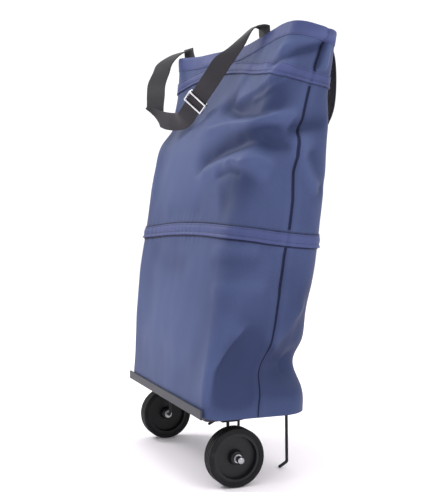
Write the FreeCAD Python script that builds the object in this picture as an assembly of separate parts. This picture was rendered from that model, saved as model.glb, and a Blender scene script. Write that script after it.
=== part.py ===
import FreeCAD, Part
import math
import os

# A folding shopping bag on two wheels. Millimetres, +Z up, X across the bag, the front towards -Y.
# Shapes are drawn about the wheel axles (X = 0, Y = 0 over the axles) and moved back by AXLE_Y when
# they are written, so that the origin lies on the floor under the middle of the whole trolley.
V = FreeCAD.Vector
AXLE_Y = -59.4

# Wheels and their wire legs
WHEEL_RADIUS = 36.0
WHEEL_MIDDLE_X = 132.5
TYRE_WIDTH = 20.0
TYRE_INNER_RADIUS = 29.5
TREAD_GROOVE_DEPTH = 0.9
TREAD_GROOVE_WIDTH = 1.6
TREAD_GROOVE_PITCH = 4.5
TYRE_SHOULDER = 2.4
RIM_SETBACK = 0.8
HUB_CHAMFER = 1.0
HUB_FLARE = 1.5
HUB_RADIUS = 8.0
HUB_OVERHANG = 1.5
WEB_PLATE = 5.0
RIM_WALL = 3.6
WIRE_RADIUS = 2.0
RUNNING_GAP = 0.05
BUSH_WALL = 1.4
WASHER_RADIUS = 5.2
WASHER_THICKNESS = 1.0
CAP_RADIUS = 4.3
CAP_END_X = 156.6
CAP_DOME = 3.0
CAP_SKIN = 3.4
WASHER_GAP = 0.2
WHEEL_LEG_X = 112.0
LEG_BEND_RADIUS = 6.0

# Hinge pins, hinge blocks and the rear stand legs
PIN_RADIUS = 1.6
PIN_HEIGHT = 79.0
EYE_RADIUS = 3.9
EYE_LENGTH = 8.0
EYE_SLACK = 0.3
PIN_TAIL_DROP = 24.0
PIN_TAIL_LENGTH = 15.0
PIN_TAIL_STAND_OFF = 1.6
PIN_TAIL_BEND_RADIUS = 3.0
PIN_BACK_Y = 22.0
BLOCK_HALF_WIDTH = 8.5
WHEEL_BLOCK_FRONT_Y = -10.5
WHEEL_BLOCK_BACK_Y = 46.0
BLOCK_BOTTOM = 75.2
BLOCK_REAR_BOTTOM = 81.6
STAND_BLOCK_REAR_BOTTOM = 75.6
FAR = 300.0
STAND_X = 80.0
STAND_Y = 95.5
STAND_SPLAY = 1.5
STAND_BEND_HEIGHT = 7.5
STAND_FOOT_REACH = 10.0
STAND_BEND_RADIUS = 3.4
STAND_PIN_PROUD = 0.8
STAND_BLOCK_CLEARANCE = 0.1
STAND_BLOCK_FRONT_Y = 79.0
STAND_BLOCK_BACK_Y = 102.5

# Base tray, front edge strip and stiffening board
TRAY_HALF_WIDTH = 142.0
TRAY_FRONT_Y = -40.0
TRAY_BACK_Y = 99.0
TRAY_BOTTOM = 82.4
TRAY_TOP = 87.2
TRAY_SKIN = 2.0
TRAY_WALL = 2.5
TRAY_FRONT_CORNER = 8.0
TRAY_BACK_CORNER = 34.0
STRIP_HALF_WIDTH = 150.0
STRIP_FRONT_Y = -50.4
STRIP_THICKNESS = 2.4
STRIP_TOP = 98.6
STRIP_LIP = 1.8
STRIP_LIFT = 0.1
STRIP_LIP_SETBACK = 8.0
STRIP_EDGE_RADIUS = 1.0
RIB_Y = (-20.0, 62.0)
RIB_THICKNESS = 2.0
RIB_LIFT = 0.6
RIB_ROOT = 0.5
BOARD_THICKNESS = 3.0
BOARD_SLACK = 2.2
RIVET_RADIUS = 2.2
RIVET_HEAD_RADIUS = 4.2
RIVET_HEAD_HEIGHT = 1.4
RIVET_EDGE_RADIUS = 0.8
# Rivets of the +X side: two through each hinge block, and one through the front strip
RIVET_PLACES = (
    (WHEEL_LEG_X, 12.0), (WHEEL_LEG_X, 38.0), (STAND_X - 5.5, 82.5), (STAND_X + 5.5, 82.5), (70.0, -36.0),
)

# Cloth of the bag
CLOTH = 1.6
CLOTH_GAP = 0.3
BOTTOM_CLOTH_Z = 89.3
MIDDLE_BAND_BOTTOM = 292.0
MIDDLE_BAND_TOP = 307.0
UPPER_BAND_BOTTOM = 495.0
UPPER_BAND_TOP = 509.0
RIM_HEIGHT = 572.0
BAND_THICKNESS = 2.4
ZIP_HEIGHT = 3.2
ZIP_THICKNESS = 1.6
ZIP_CLEARANCE = 0.1
HEM_HEIGHT = 20.0
HEM_CLOTH = 1.0

# Zip slider and its pull
ZIP_SLIDER_X = -100.0
ZIP_SLIDER_WIDTH = 9.0
ZIP_SLIDER_DEPTH = 2.6
ZIP_SLIDER_HEIGHT = 5.2
ZIP_SLIDER_LIFT = 0.4
ZIP_SLIDER_GAP = 0.6
ZIP_SLIDER_CORNER = 1.0
LUG_WIDTH = 3.2
LUG_HEIGHT = 4.0
LUG_REACH = 5.6
LUG_ROOT = 0.6
PULL_BAR_RADIUS = 0.75
PULL_BAR_REACH = 4.2
PULL_BAR_HEIGHT = 2.6
PULL_WIDTH = 7.2
PULL_EYE_WIDTH = 4.0
PULL_LENGTH = 23.0
PULL_THICKNESS = 1.2
PULL_EYE_THICKNESS = 2.0
PULL_TOP = 3.7
PULL_EYE_LOW = 0.6
PULL_CHEEK_LOW = 1.5

# Levels of the bag: height, half width, half depth, middle y, twist in degrees, and the radius of
# its front and back corners. The bag leans back, and its top is twisted, the +X end going back.
BAG_LEVELS = [
    (89.0, 149.0, 73.5, 26.5, 0.0, 12.0, 38.0),
    (200.0, 148.5, 69.5, 35.0, 2.6, 22.0, 36.0),
    (MIDDLE_BAND_TOP, 149.0, 66.0, 45.0, 4.9, 27.0, 33.0),
    (423.0, 149.0, 59.0, 62.5, 5.6, 25.0, 32.0),
    (UPPER_BAND_BOTTOM, 148.5, 46.0, 79.0, 6.3, 22.0, 28.0),
    (RIM_HEIGHT, 145.0, 34.5, 92.5, 10.0, 15.0, 24.0),
]

# Webbing of the handles
WEB_WIDTH = 25.0
WEB_THICKNESS = 1.8
TAB_LENGTH = 44.0
TAB_SLACK = 1.0
SLIDER_WIRE = 1.3
SLIDER_SLACK = 0.6
SLIDER_HALF_TALL = 7.5
SLIDER_PLACE = 0.3
TAB_PROUD = 0.8
FRONT_TAB_X = (74.0, -112.0)
BACK_TAB_X = (74.0, -74.0)


def save(node, shape):
    """Move a finished piece back to the trolley's own origin and write it."""
    placed = shape.copy()
    placed.translate(V(0, AXLE_Y, 0))
    placed.exportStep("parts/" + node + ".step")


def save_pair(node, right_shape):
    """Write a piece of the +X side and its mirror image on the -X side."""
    save(node + "_right", right_shape)
    save(node + "_left", right_shape.mirror(V(0, 0, 0), V(1, 0, 0)))


def block(x_low, x_high, y_low, y_high, z_low, z_high):
    return Part.makeBox(x_high - x_low, y_high - y_low, z_high - z_low, V(x_low, y_low, z_low))


def rod(start, end, radius):
    return Part.makeCylinder(radius, (end - start).Length, start, end - start)


def tube_x(x_low, x_high, inner, outer):
    """A ring about an axle along X, at the wheel's centre height."""
    axle = V(x_low, 0, WHEEL_RADIUS)
    length = x_high - x_low
    ring = Part.makeCylinder(outer, length, axle, V(1, 0, 0))
    return ring.cut(Part.makeCylinder(inner, length, axle, V(1, 0, 0)))


def turned(profile):
    """Turn an (x, radius) outline about the axle."""
    points = [V(x, 0, WHEEL_RADIUS + radius) for x, radius in profile]
    face = Part.Face(Part.makePolygon(points + points[:1]))
    return face.revolve(V(0, 0, WHEEL_RADIUS), V(1, 0, 0), 360)


def bent_rod(points, radius, bend_radius):
    """A round wire along straight runs, with a bend of one radius at each inner point."""
    edges = []
    start = points[0]
    for before, corner, after in zip(points, points[1:], points[2:]):
        into = (corner - before).normalize()
        out = (after - corner).normalize()
        half_turn = into.getAngle(out) / 2
        reach = bend_radius * math.tan(half_turn)
        bend_start = corner - into * reach
        bend_end = corner + out * reach
        middle_dir = (out - into).normalize()
        centre = corner + middle_dir * (bend_radius / math.cos(half_turn))
        bend_middle = centre - middle_dir * bend_radius
        edges.append(Part.makeLine(start, bend_start))
        edges.append(Part.Arc(bend_start, bend_middle, bend_end).toShape())
        start = bend_end
    edges.append(Part.makeLine(start, points[-1]))
    path = Part.Wire(edges)
    section = Part.Wire(Part.makeCircle(radius, points[0], points[1] - points[0]))
    return path.makePipeShell([section], True, False)


# ---------------------------------------------------------------- bag outline
def bag_level(height):
    """Half width, half depth, middle y, twist, front and back corner radius of the bag at a height."""
    for low, high in zip(BAG_LEVELS, BAG_LEVELS[1:]):
        if height <= high[0]:
            break
    part = (height - low[0]) / (high[0] - low[0])
    return [a + (b - a) * part for a, b in zip(low[1:], high[1:])]


def bag_outline(height, outset):
    """Closed rounded rectangle round the bag at a height, outset from its cloth."""
    half_width, half_depth, middle_y, twist, front_corner, back_corner = bag_level(height)
    edges = []
    last = None
    for side_x, side_y, corner, start_angle in (
        (1, -1, front_corner, 270), (1, 1, back_corner, 0), (-1, 1, back_corner, 90), (-1, -1, front_corner, 180),
    ):
        radius = corner + outset
        centre = V(side_x * (half_width - corner), side_y * (half_depth - corner), 0)
        arc_points = []
        for angle in (start_angle, start_angle + 45, start_angle + 90):
            turn = math.radians(angle)
            arc_points.append(centre + V(math.cos(turn), math.sin(turn), 0) * radius)
        if last is not None:
            edges.append(Part.makeLine(last, arc_points[0]))
        else:
            first = arc_points[0]
        edges.append(Part.Arc(*arc_points).toShape())
        last = arc_points[2]
    edges.append(Part.makeLine(last, first))
    outline = Part.Wire(edges)
    outline.rotate(V(0, 0, 0), V(0, 0, 1), twist)
    outline.translate(V(0, middle_y, height))
    return outline


def storey_levels(low, high):
    """The heights at which the bag's outline is given, from low to high."""
    return [low] + [level[0] for level in BAG_LEVELS if low + 1 < level[0] < high - 1] + [high]


def bag_solid(low, high, outset):
    return Part.makeLoft([bag_outline(height, outset) for height in storey_levels(low, high)], True, True)


def bag_ring(low, high, inner, outer):
    """A wall that follows the bag between two heights."""
    return bag_solid(low, high, outer).cut(bag_solid(low, high, inner))


def front_half(shape, low, high):
    """The part of a bag ring in front of its side seams."""
    seam_line = [V(-FAR, bag_level(height)[2], height) for height in storey_levels(low, high)]
    corners = [V(-FAR, -FAR, low)] + seam_line + [V(-FAR, -FAR, high)]
    wedge = Part.Face(Part.makePolygon(corners + corners[:1])).extrude(V(2 * FAR, 0, 0))
    return shape.common(wedge)


def save_panels(name, low, high):
    """Front and back panels of one storey of the bag, sewn together at the middle of each side."""
    ring = bag_ring(low, high, -CLOTH, 0)
    front = front_half(ring, low, high)
    save(name + "_front_panel", front)
    save(name + "_back_panel", ring.cut(front_half(ring, low, high)))


# ---------------------------------------------------------------- base
def tray_plate(inset, top):
    """A plate of the tray's outline, its corners rounder at the back."""
    plate = block(
        -TRAY_HALF_WIDTH + inset, TRAY_HALF_WIDTH - inset, TRAY_FRONT_Y + inset, TRAY_BACK_Y - inset,
        TRAY_BOTTOM, top,
    )
    uprights = [edge for edge in plate.Edges if abs(edge.Vertexes[0].Z - edge.Vertexes[1].Z) > 1]
    front = [edge for edge in uprights if edge.CenterOfMass.y < 0]
    plate = plate.makeFillet(TRAY_FRONT_CORNER - inset, front)
    back = [edge for edge in plate.Edges if edge.CenterOfMass.y > TRAY_BACK_Y - inset - 0.1
            and abs(edge.Vertexes[0].Z - edge.Vertexes[-1].Z) > 1]
    return plate.makeFillet(TRAY_BACK_CORNER - inset, back)


def make_base():
    tray = tray_plate(0, TRAY_TOP).cut(tray_plate(TRAY_WALL, TRAY_TOP - TRAY_SKIN))
    rib_reach = TRAY_HALF_WIDTH - TRAY_WALL / 2
    for rib_y in RIB_Y:
        tray = tray.fuse(block(
            -rib_reach, rib_reach, rib_y - RIB_THICKNESS / 2, rib_y + RIB_THICKNESS / 2,
            TRAY_BOTTOM + RIB_LIFT, TRAY_TOP - TRAY_SKIN + RIB_ROOT,
        ))
    tray = tray.removeSplitter()
    strip = block(
        -STRIP_HALF_WIDTH, STRIP_HALF_WIDTH, STRIP_FRONT_Y, STRIP_FRONT_Y + STRIP_THICKNESS,
        TRAY_TOP + STRIP_LIFT, STRIP_TOP,
    )
    front_edges = [
        edge for edge in strip.Edges
        if abs(edge.CenterOfMass.y - STRIP_FRONT_Y) < 0.01
    ]
    strip = strip.makeFillet(STRIP_EDGE_RADIUS, front_edges)
    lip_reach = TRAY_HALF_WIDTH - STRIP_LIP_SETBACK
    strip = strip.fuse(block(
        -lip_reach, lip_reach, STRIP_FRONT_Y + STRIP_EDGE_RADIUS, TRAY_FRONT_Y + STRIP_LIP_SETBACK,
        TRAY_TOP + STRIP_LIFT, TRAY_TOP + STRIP_LIFT + STRIP_LIP,
    )).removeSplitter()
    board_top = BOTTOM_CLOTH_Z + CLOTH + BOARD_THICKNESS
    board = bag_solid(BOTTOM_CLOTH_Z + CLOTH, board_top, -CLOTH - BOARD_SLACK)
    bottom_cloth = bag_solid(BOTTOM_CLOTH_Z, BOTTOM_CLOTH_Z + CLOTH, 0)
    rivets = []
    for side in (-1, 1):
        for x, y in RIVET_PLACES:
            place = V(side * x, y, TRAY_TOP - TRAY_SKIN)
            shank = Part.makeCylinder(RIVET_RADIUS, board_top - place.z, place)
            head = Part.makeCylinder(RIVET_HEAD_RADIUS, RIVET_HEAD_HEIGHT, V(place.x, place.y, board_top))
            rim = [edge for edge in head.Edges if edge.CenterOfMass.z > board_top + RIVET_HEAD_HEIGHT - 0.1
                   and edge.Curve.TypeId == "Part::GeomCircle"]
            head = head.makeFillet(RIVET_EDGE_RADIUS, rim)
            rivets.append(shank.fuse(head).removeSplitter())
    group = Part.makeCompound(rivets)
    for side in (-1, 1):
        slot_half = EYE_LENGTH / 2 + EYE_SLACK
        tray = tray.cut(block(
            side * STAND_X - BLOCK_HALF_WIDTH, side * STAND_X + BLOCK_HALF_WIDTH,
            STAND_Y - slot_half, STAND_Y + slot_half, 0, PIN_HEIGHT + EYE_RADIUS + EYE_SLACK,
        ))
    save("base_tray", tray.cut(group))
    save("front_edge_strip", strip.cut(group))
    save("bottom_cloth", bottom_cloth.cut(group))
    save("base_board", board.cut(group))
    save("base_rivets", group)


def hinge_block(x, front_y, back_y, eye_y, slope_y, rear_bottom):
    """Moulded block under the tray: a pin hole along Y and a slot for a leg's eye, open inwards."""
    profile = [
        V(0, front_y, BLOCK_BOTTOM), V(0, slope_y, BLOCK_BOTTOM), V(0, back_y, rear_bottom),
        V(0, back_y, TRAY_TOP - TRAY_SKIN), V(0, front_y, TRAY_TOP - TRAY_SKIN),
    ]
    body = Part.Face(Part.makePolygon(profile + profile[:1])).extrude(V(2 * BLOCK_HALF_WIDTH, 0, 0))
    body.translate(V(x - BLOCK_HALF_WIDTH, 0, 0))
    slot_half = EYE_LENGTH / 2 + EYE_SLACK
    slot_reach = EYE_RADIUS + EYE_SLACK
    slot = block(
        x - BLOCK_HALF_WIDTH - 1, x + slot_reach, eye_y - slot_half, eye_y + slot_half,
        BLOCK_BOTTOM - 1, PIN_HEIGHT + slot_reach,
    )
    return body.cut(slot)


def hinge_eye(x, y):
    """The eye at the top of a wire leg, with its running bore."""
    low = V(x, y - EYE_LENGTH / 2, PIN_HEIGHT)
    return Part.makeCylinder(EYE_RADIUS, EYE_LENGTH, low, V(0, 1, 0))


def eye_bore(x, y):
    low = V(x, y - EYE_LENGTH, PIN_HEIGHT)
    return Part.makeCylinder(PIN_RADIUS + RUNNING_GAP, 2 * EYE_LENGTH, low, V(0, 1, 0))


def make_wheel_hinge():
    body = hinge_block(WHEEL_LEG_X, WHEEL_BLOCK_FRONT_Y, WHEEL_BLOCK_BACK_Y, 0.0, EYE_LENGTH, BLOCK_REAR_BOTTOM)
    tail = math.radians(PIN_TAIL_DROP)
    bend = V(WHEEL_LEG_X, WHEEL_BLOCK_FRONT_Y - PIN_TAIL_STAND_OFF, PIN_HEIGHT)
    tip = bend + V(0, -math.cos(tail), -math.sin(tail)) * PIN_TAIL_LENGTH
    pin_back = V(WHEEL_LEG_X, PIN_BACK_Y, PIN_HEIGHT)
    pin = bent_rod([pin_back, bend, tip], PIN_RADIUS, PIN_TAIL_BEND_RADIUS)
    hole = rod(V(WHEEL_LEG_X, TRAY_FRONT_Y, PIN_HEIGHT), pin_back, PIN_RADIUS)
    save_pair("wheel_hinge_block", body.cut(hole))
    save_pair("wheel_hinge_pin", pin)


def make_wheel_leg():
    top = V(WHEEL_LEG_X, 0, PIN_HEIGHT)
    corner = V(WHEEL_LEG_X, 0, WHEEL_RADIUS)
    end = V(CAP_END_X - CAP_SKIN, 0, WHEEL_RADIUS)
    wire = bent_rod([top, corner, end], WIRE_RADIUS, LEG_BEND_RADIUS)
    leg = wire.fuse(hinge_eye(WHEEL_LEG_X, 0)).removeSplitter().cut(eye_bore(WHEEL_LEG_X, 0))
    save_pair("wheel_leg", leg)


def make_stand():
    body = hinge_block(
        STAND_X, STAND_BLOCK_FRONT_Y, STAND_BLOCK_BACK_Y, STAND_Y, STAND_Y - EYE_LENGTH, STAND_BLOCK_REAR_BOTTOM,
    )
    body = body.common(block(0, FAR, STAND_BLOCK_FRONT_Y, STAND_BLOCK_BACK_Y, 0, TRAY_TOP))
    body = body.cut(block(0, FAR, TRAY_BACK_Y - TRAY_WALL, FAR, TRAY_BOTTOM - STAND_BLOCK_CLEARANCE, FAR))
    pin_front = V(STAND_X, STAND_BLOCK_FRONT_Y, PIN_HEIGHT)
    pin_back = V(STAND_X, STAND_BLOCK_BACK_Y + STAND_PIN_PROUD, PIN_HEIGHT)
    pin = rod(pin_front, pin_back, PIN_RADIUS)
    save_pair("stand_hinge_block", body.cut(pin))
    save_pair("stand_hinge_pin", pin)

    top = V(STAND_X, STAND_Y, PIN_HEIGHT)
    bend = V(STAND_X + STAND_SPLAY, STAND_Y, STAND_BEND_HEIGHT)
    tip = V(bend.x, STAND_Y - STAND_FOOT_REACH, WIRE_RADIUS)
    wire = bent_rod([top, bend, tip], WIRE_RADIUS, STAND_BEND_RADIUS)
    leg = wire.fuse(Part.makeSphere(WIRE_RADIUS, tip))
    leg = leg.fuse(hinge_eye(STAND_X, STAND_Y)).removeSplitter().cut(eye_bore(STAND_X, STAND_Y))
    save_pair("stand_leg", leg)


# ---------------------------------------------------------------- wheels
def make_wheel():
    inner_face = WHEEL_MIDDLE_X - TYRE_WIDTH / 2
    outer_face = WHEEL_MIDDLE_X + TYRE_WIDTH / 2
    hub_in = inner_face - HUB_OVERHANG
    hub_out = outer_face + HUB_OVERHANG
    bore = WIRE_RADIUS + RUNNING_GAP
    bush_radius = bore + BUSH_WALL
    tyre = tube_x(inner_face, outer_face, TYRE_INNER_RADIUS, WHEEL_RADIUS)
    shoulders = [
        edge for edge in tyre.Edges
        if edge.Curve.TypeId == "Part::GeomCircle" and edge.Curve.Radius > TYRE_INNER_RADIUS + 1
    ]
    tyre = tyre.makeFillet(TYRE_SHOULDER, shoulders)
    for step in (-1, 0, 1):
        middle = WHEEL_MIDDLE_X + step * TREAD_GROOVE_PITCH
        tyre = tyre.cut(tube_x(
            middle - TREAD_GROOVE_WIDTH / 2, middle + TREAD_GROOVE_WIDTH / 2,
            WHEEL_RADIUS - TREAD_GROOVE_DEPTH, WHEEL_RADIUS + 1,
        ))
    rim_inner = TYRE_INNER_RADIUS - RIM_WALL
    web_in = WHEEL_MIDDLE_X - WEB_PLATE / 2
    web_out = WHEEL_MIDDLE_X + WEB_PLATE / 2
    tyre_seat_in = inner_face + RIM_SETBACK
    tyre_seat_out = outer_face - RIM_SETBACK
    disc = turned([
        (hub_in, bush_radius), (hub_in, HUB_RADIUS - HUB_CHAMFER), (hub_in + HUB_CHAMFER, HUB_RADIUS),
        (web_in, HUB_RADIUS + HUB_FLARE), (web_in, rim_inner - HUB_CHAMFER), (tyre_seat_in, rim_inner),
        (tyre_seat_in, TYRE_INNER_RADIUS), (tyre_seat_out, TYRE_INNER_RADIUS), (tyre_seat_out, rim_inner),
        (web_out, rim_inner - HUB_CHAMFER), (web_out, HUB_RADIUS + HUB_FLARE),
        (hub_out - HUB_CHAMFER, HUB_RADIUS), (hub_out, HUB_RADIUS - HUB_CHAMFER), (hub_out, bush_radius),
    ])
    bush = tube_x(hub_in, hub_out, bore, bush_radius)
    washers = Part.makeCompound([
        tube_x(hub_in - WASHER_GAP - WASHER_THICKNESS, hub_in - WASHER_GAP, WIRE_RADIUS, WASHER_RADIUS),
        tube_x(hub_out + WASHER_GAP, hub_out + WASHER_GAP + WASHER_THICKNESS, WIRE_RADIUS, WASHER_RADIUS),
    ])
    cap_start = hub_out + WASHER_GAP + WASHER_THICKNESS
    dome_start = CAP_END_X - CAP_DOME
    axle_end = CAP_END_X - CAP_SKIN
    cap = rod(V(cap_start, 0, WHEEL_RADIUS), V(CAP_END_X, 0, WHEEL_RADIUS), CAP_RADIUS)
    dome_edge = [
        edge for edge in cap.Edges
        if edge.Curve.TypeId == "Part::GeomCircle" and edge.CenterOfMass.x > dome_start
    ]
    cap = cap.makeFillet(CAP_END_X - dome_start, dome_edge)
    cap = cap.cut(rod(V(cap_start, 0, WHEEL_RADIUS), V(axle_end, 0, WHEEL_RADIUS), WIRE_RADIUS))
    save_pair("tyre", tyre)
    save_pair("wheel_disc", disc)
    save_pair("wheel_bush", bush)
    save_pair("axle_washers", washers)
    save_pair("axle_cap", cap)


# ---------------------------------------------------------------- bag
def make_bag():
    save_panels("lower", BOTTOM_CLOTH_Z + CLOTH, MIDDLE_BAND_TOP)
    save_panels("middle", MIDDLE_BAND_TOP, UPPER_BAND_BOTTOM - CLOTH_GAP)
    save_panels("collar", UPPER_BAND_BOTTOM, RIM_HEIGHT)
    save("middle_zip_band", bag_ring(MIDDLE_BAND_BOTTOM, MIDDLE_BAND_TOP, CLOTH_GAP, BAND_THICKNESS))
    save("upper_zip_band", bag_ring(UPPER_BAND_BOTTOM, UPPER_BAND_TOP, CLOTH_GAP, BAND_THICKNESS))
    save("lower_zip_teeth", bag_ring(
        MIDDLE_BAND_TOP + ZIP_CLEARANCE, MIDDLE_BAND_TOP + ZIP_HEIGHT, CLOTH_GAP, CLOTH_GAP + ZIP_THICKNESS,
    ))
    save("upper_zip_teeth", bag_ring(
        UPPER_BAND_BOTTOM - ZIP_HEIGHT, UPPER_BAND_BOTTOM - ZIP_CLEARANCE, CLOTH_GAP, CLOTH_GAP + ZIP_THICKNESS,
    ))
    save("rim_hem", bag_ring(RIM_HEIGHT - HEM_HEIGHT, RIM_HEIGHT, -CLOTH - CLOTH_GAP - HEM_CLOTH, -CLOTH - CLOTH_GAP))


def make_zip_slider():
    """Slider of the zip, parked near the -X end of the back, with its hanging pull."""
    height = MIDDLE_BAND_TOP + ZIP_SLIDER_LIFT
    half_depth, middle_y, twist = bag_level(height)[1:4]
    back = half_depth + CLOTH_GAP + ZIP_THICKNESS + ZIP_SLIDER_GAP

    def centred(width, y_low, y_high, z_low, z_high):
        return block(
            ZIP_SLIDER_X - width / 2, ZIP_SLIDER_X + width / 2, back + y_low, back + y_high,
            height + z_low, height + z_high,
        )

    def bar(width, radius):
        start = V(ZIP_SLIDER_X - width / 2, back + PULL_BAR_REACH, height + PULL_BAR_HEIGHT)
        return rod(start, start + V(width, 0, 0), radius)

    body = centred(ZIP_SLIDER_WIDTH, 0, ZIP_SLIDER_DEPTH, 0, ZIP_SLIDER_HEIGHT)
    uprights = [edge for edge in body.Edges if abs(edge.Vertexes[0].Z - edge.Vertexes[1].Z) > 1]
    body = body.makeFillet(ZIP_SLIDER_CORNER, uprights)
    lug_low = (ZIP_SLIDER_HEIGHT - LUG_HEIGHT) / 2
    body = body.fuse(centred(LUG_WIDTH, ZIP_SLIDER_DEPTH - LUG_ROOT, LUG_REACH, lug_low, lug_low + LUG_HEIGHT))
    body = body.fuse(bar(2 * LUG_WIDTH, PULL_BAR_RADIUS)).removeSplitter()
    pull_low = PULL_BAR_REACH - PULL_THICKNESS / 2
    pull = centred(PULL_WIDTH, pull_low, pull_low + PULL_THICKNESS, -PULL_LENGTH, PULL_TOP)
    pull = pull.cut(centred(PULL_EYE_WIDTH, 0, FAR, -PULL_EYE_LOW, ZIP_SLIDER_HEIGHT))
    eye_low = PULL_BAR_REACH - PULL_EYE_THICKNESS / 2
    cheeks = centred(PULL_WIDTH, eye_low, eye_low + PULL_EYE_THICKNESS, PULL_CHEEK_LOW, PULL_TOP)
    pull = pull.fuse(cheeks.cut(centred(PULL_EYE_WIDTH, 0, FAR, 0, ZIP_SLIDER_HEIGHT)))
    pull = pull.removeSplitter().cut(bar(2 * PULL_WIDTH, PULL_BAR_RADIUS + RUNNING_GAP))
    for node, shape in (("zip_slider", body), ("zip_pull", pull)):
        shape.rotate(V(0, 0, 0), V(0, 0, 1), twist)
        shape.translate(V(0, middle_y, 0))
        save(node, shape)


# ---------------------------------------------------------------- handles
def webbing(stations, thickness=WEB_THICKNESS, width=WEB_WIDTH):
    """Flat webbing through stations of (place, direction of its width, width factor)."""
    places = [V(*place) for place, _, _ in stations]
    outlines = []
    for i, (_, across, factor) in enumerate(stations):
        along = places[min(i + 1, len(places) - 1)] - places[max(i - 1, 0)]
        across = V(*across)
        across = (across - along * (across.dot(along) / along.dot(along))).normalize()
        face_normal = along.cross(across).normalize()
        half_width = across * (width * factor / 2)
        half_thickness = face_normal * (thickness / 2)
        corners = [
            places[i] - half_width - half_thickness, places[i] + half_width - half_thickness,
            places[i] + half_width + half_thickness, places[i] - half_width + half_thickness,
        ]
        outlines.append(Part.makePolygon(corners + corners[:1]))
    return Part.makeLoft(outlines, True, True)


RIM_LINE = (0.985, 0.174, 0.0)

# Front handle: sewn inside the front panel, over the rim, and slumped down towards the -X end
SLIDE_ACROSS = (0.3, 0.62, -0.72)
FRONT_HANDLE = [
    ((70, 68.5, 575), RIM_LINE, 1),
    ((71.8, 58.2, 575), RIM_LINE, 1),
    ((64, 47, 567), (0.9, 0.3, 0.3), 1),
    ((52, 36, 550), (0.7, 0.6, 0.1), 1),
    ((40, 21.5, 531), (0.5, 0.7, -0.4), 1),
    ((28, 10.7, 510), SLIDE_ACROSS, 1),
    ((7.3, 5.4, 494), SLIDE_ACROSS, 1),
    ((-13.3, 0.0, 478), SLIDE_ACROSS, 1),
    ((-34, -5.3, 462), SLIDE_ACROSS, 1),
    ((-56, -9, 460), (0.05, 0.2, -0.98), 1),
    ((-80, -18.5, 463), (0, 0, -1), 1),
    ((-102, -27, 473), (0.5, 0.5, -0.7), 1.15),
    ((-111, -27, 492), (0.5, 0.85, 0), 1),
    ((-119, -17, 512), (0.5, 0.85, 0), 1),
    ((-125, -5, 534), (0.6, 0.8, 0), 1),
    ((-124, 9, 556), (0.8, 0.6, 0), 0.9),
    ((-119.3, 22, 571), RIM_LINE, 0.8),
    ((-121, 32, 575), RIM_LINE, 0.8),
]
SLIDE_LOW = FRONT_HANDLE[7][0]
SLIDE_HIGH = FRONT_HANDLE[6][0]

# Back handle: sewn inside the back panel and hanging down behind
BACK_HANDLE = [
    ((70, 139, 575), RIM_LINE, 1),
    ((68.4, 149, 571), RIM_LINE, 1),
    ((70, 163, 545), (1, 0.1, 0.1), 1),
    ((70, 168, 508), (1, 0, 0.2), 1),
    ((63, 168.5, 464), (0.9, 0, 0.5), 1),
    ((38, 168.5, 433), (0.5, 0, 0.9), 1),
    ((0, 168, 423), (0, 0, 1), 1),
    ((-38, 166, 433), (-0.5, 0, 0.9), 1),
    ((-63, 163, 464), (-0.9, 0, 0.5), 1),
    ((-70, 156, 508), (-1, 0, 0.2), 1),
    ((-71, 141, 545), (-1, -0.1, 0.1), 1),
    ((-71.5, 125, 571), (-0.985, -0.174, 0), 1),
    ((-70, 115, 575), (-0.985, -0.174, 0), 1),
]


def panel_place(height, x, outset, back):
    """A point on the front or back panel, x along it, and the panel's own direction across the bag."""
    half_depth, middle_y, twist = bag_level(height)[1:4]
    turn = math.radians(twist)
    y = half_depth + outset
    if not back:
        y = -y
    place = (x * math.cos(turn) - y * math.sin(turn), x * math.sin(turn) + y * math.cos(turn) + middle_y)
    return (place[0], place[1], height), (math.cos(turn), math.sin(turn), 0)


def rim_tab(x, back):
    """Sewn end of a handle: webbing up the inside of a panel to the rim."""
    inside = -CLOTH - 2 * CLOTH_GAP - HEM_CLOTH - WEB_THICKNESS - TAB_SLACK
    stations = []
    for height in (RIM_HEIGHT + TAB_PROUD, RIM_HEIGHT - TAB_LENGTH / 2, RIM_HEIGHT - TAB_LENGTH):
        place, across = panel_place(height, x, inside, back)
        stations.append((place, across, 1))
    return webbing(stations)


def make_handles():
    save("front_handle", webbing(FRONT_HANDLE))
    save("back_handle", webbing(BACK_HANDLE))
    save("front_handle_tabs", Part.makeCompound([rim_tab(x, False) for x in FRONT_TAB_X]))
    save("back_handle_tabs", Part.makeCompound([rim_tab(x, True) for x in BACK_TAB_X]))


def make_strap_slider():
    """Bent wire slide round the front handle: an oblong of wire on each face, joined at the edges."""
    low = V(*SLIDE_LOW)
    high = V(*SLIDE_HIGH)
    along = (high - low).normalize()
    across = V(*SLIDE_ACROSS)
    across = (across - along * across.dot(along)).normalize()
    out = along.cross(across).normalize()
    middle = low + (high - low) * SLIDER_PLACE
    reach = across * (WEB_WIDTH / 2 + SLIDER_SLACK + SLIDER_WIRE)
    rise = along * SLIDER_HALF_TALL
    lift = out * (WEB_THICKNESS / 2 + SLIDER_WIRE + SLIDER_SLACK)
    corners = {}
    for end in (-1, 1):
        for side in (-1, 1):
            for face in (-1, 1):
                corners[end, side, face] = middle + reach * end + rise * side + lift * face
    pieces = [Part.makeSphere(SLIDER_WIRE, corner) for corner in corners.values()]
    for side in (-1, 1):
        for face in (-1, 1):
            pieces.append(rod(corners[-1, side, face], corners[1, side, face], SLIDER_WIRE))
    for end in (-1, 1):
        for face in (-1, 1):
            pieces.append(rod(corners[end, -1, face], corners[end, 1, face], SLIDER_WIRE))
        for side in (-1, 1):
            pieces.append(rod(corners[end, side, -1], corners[end, side, 1], SLIDER_WIRE))
    save("handle_slider", pieces[0].multiFuse(pieces[1:]))


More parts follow.
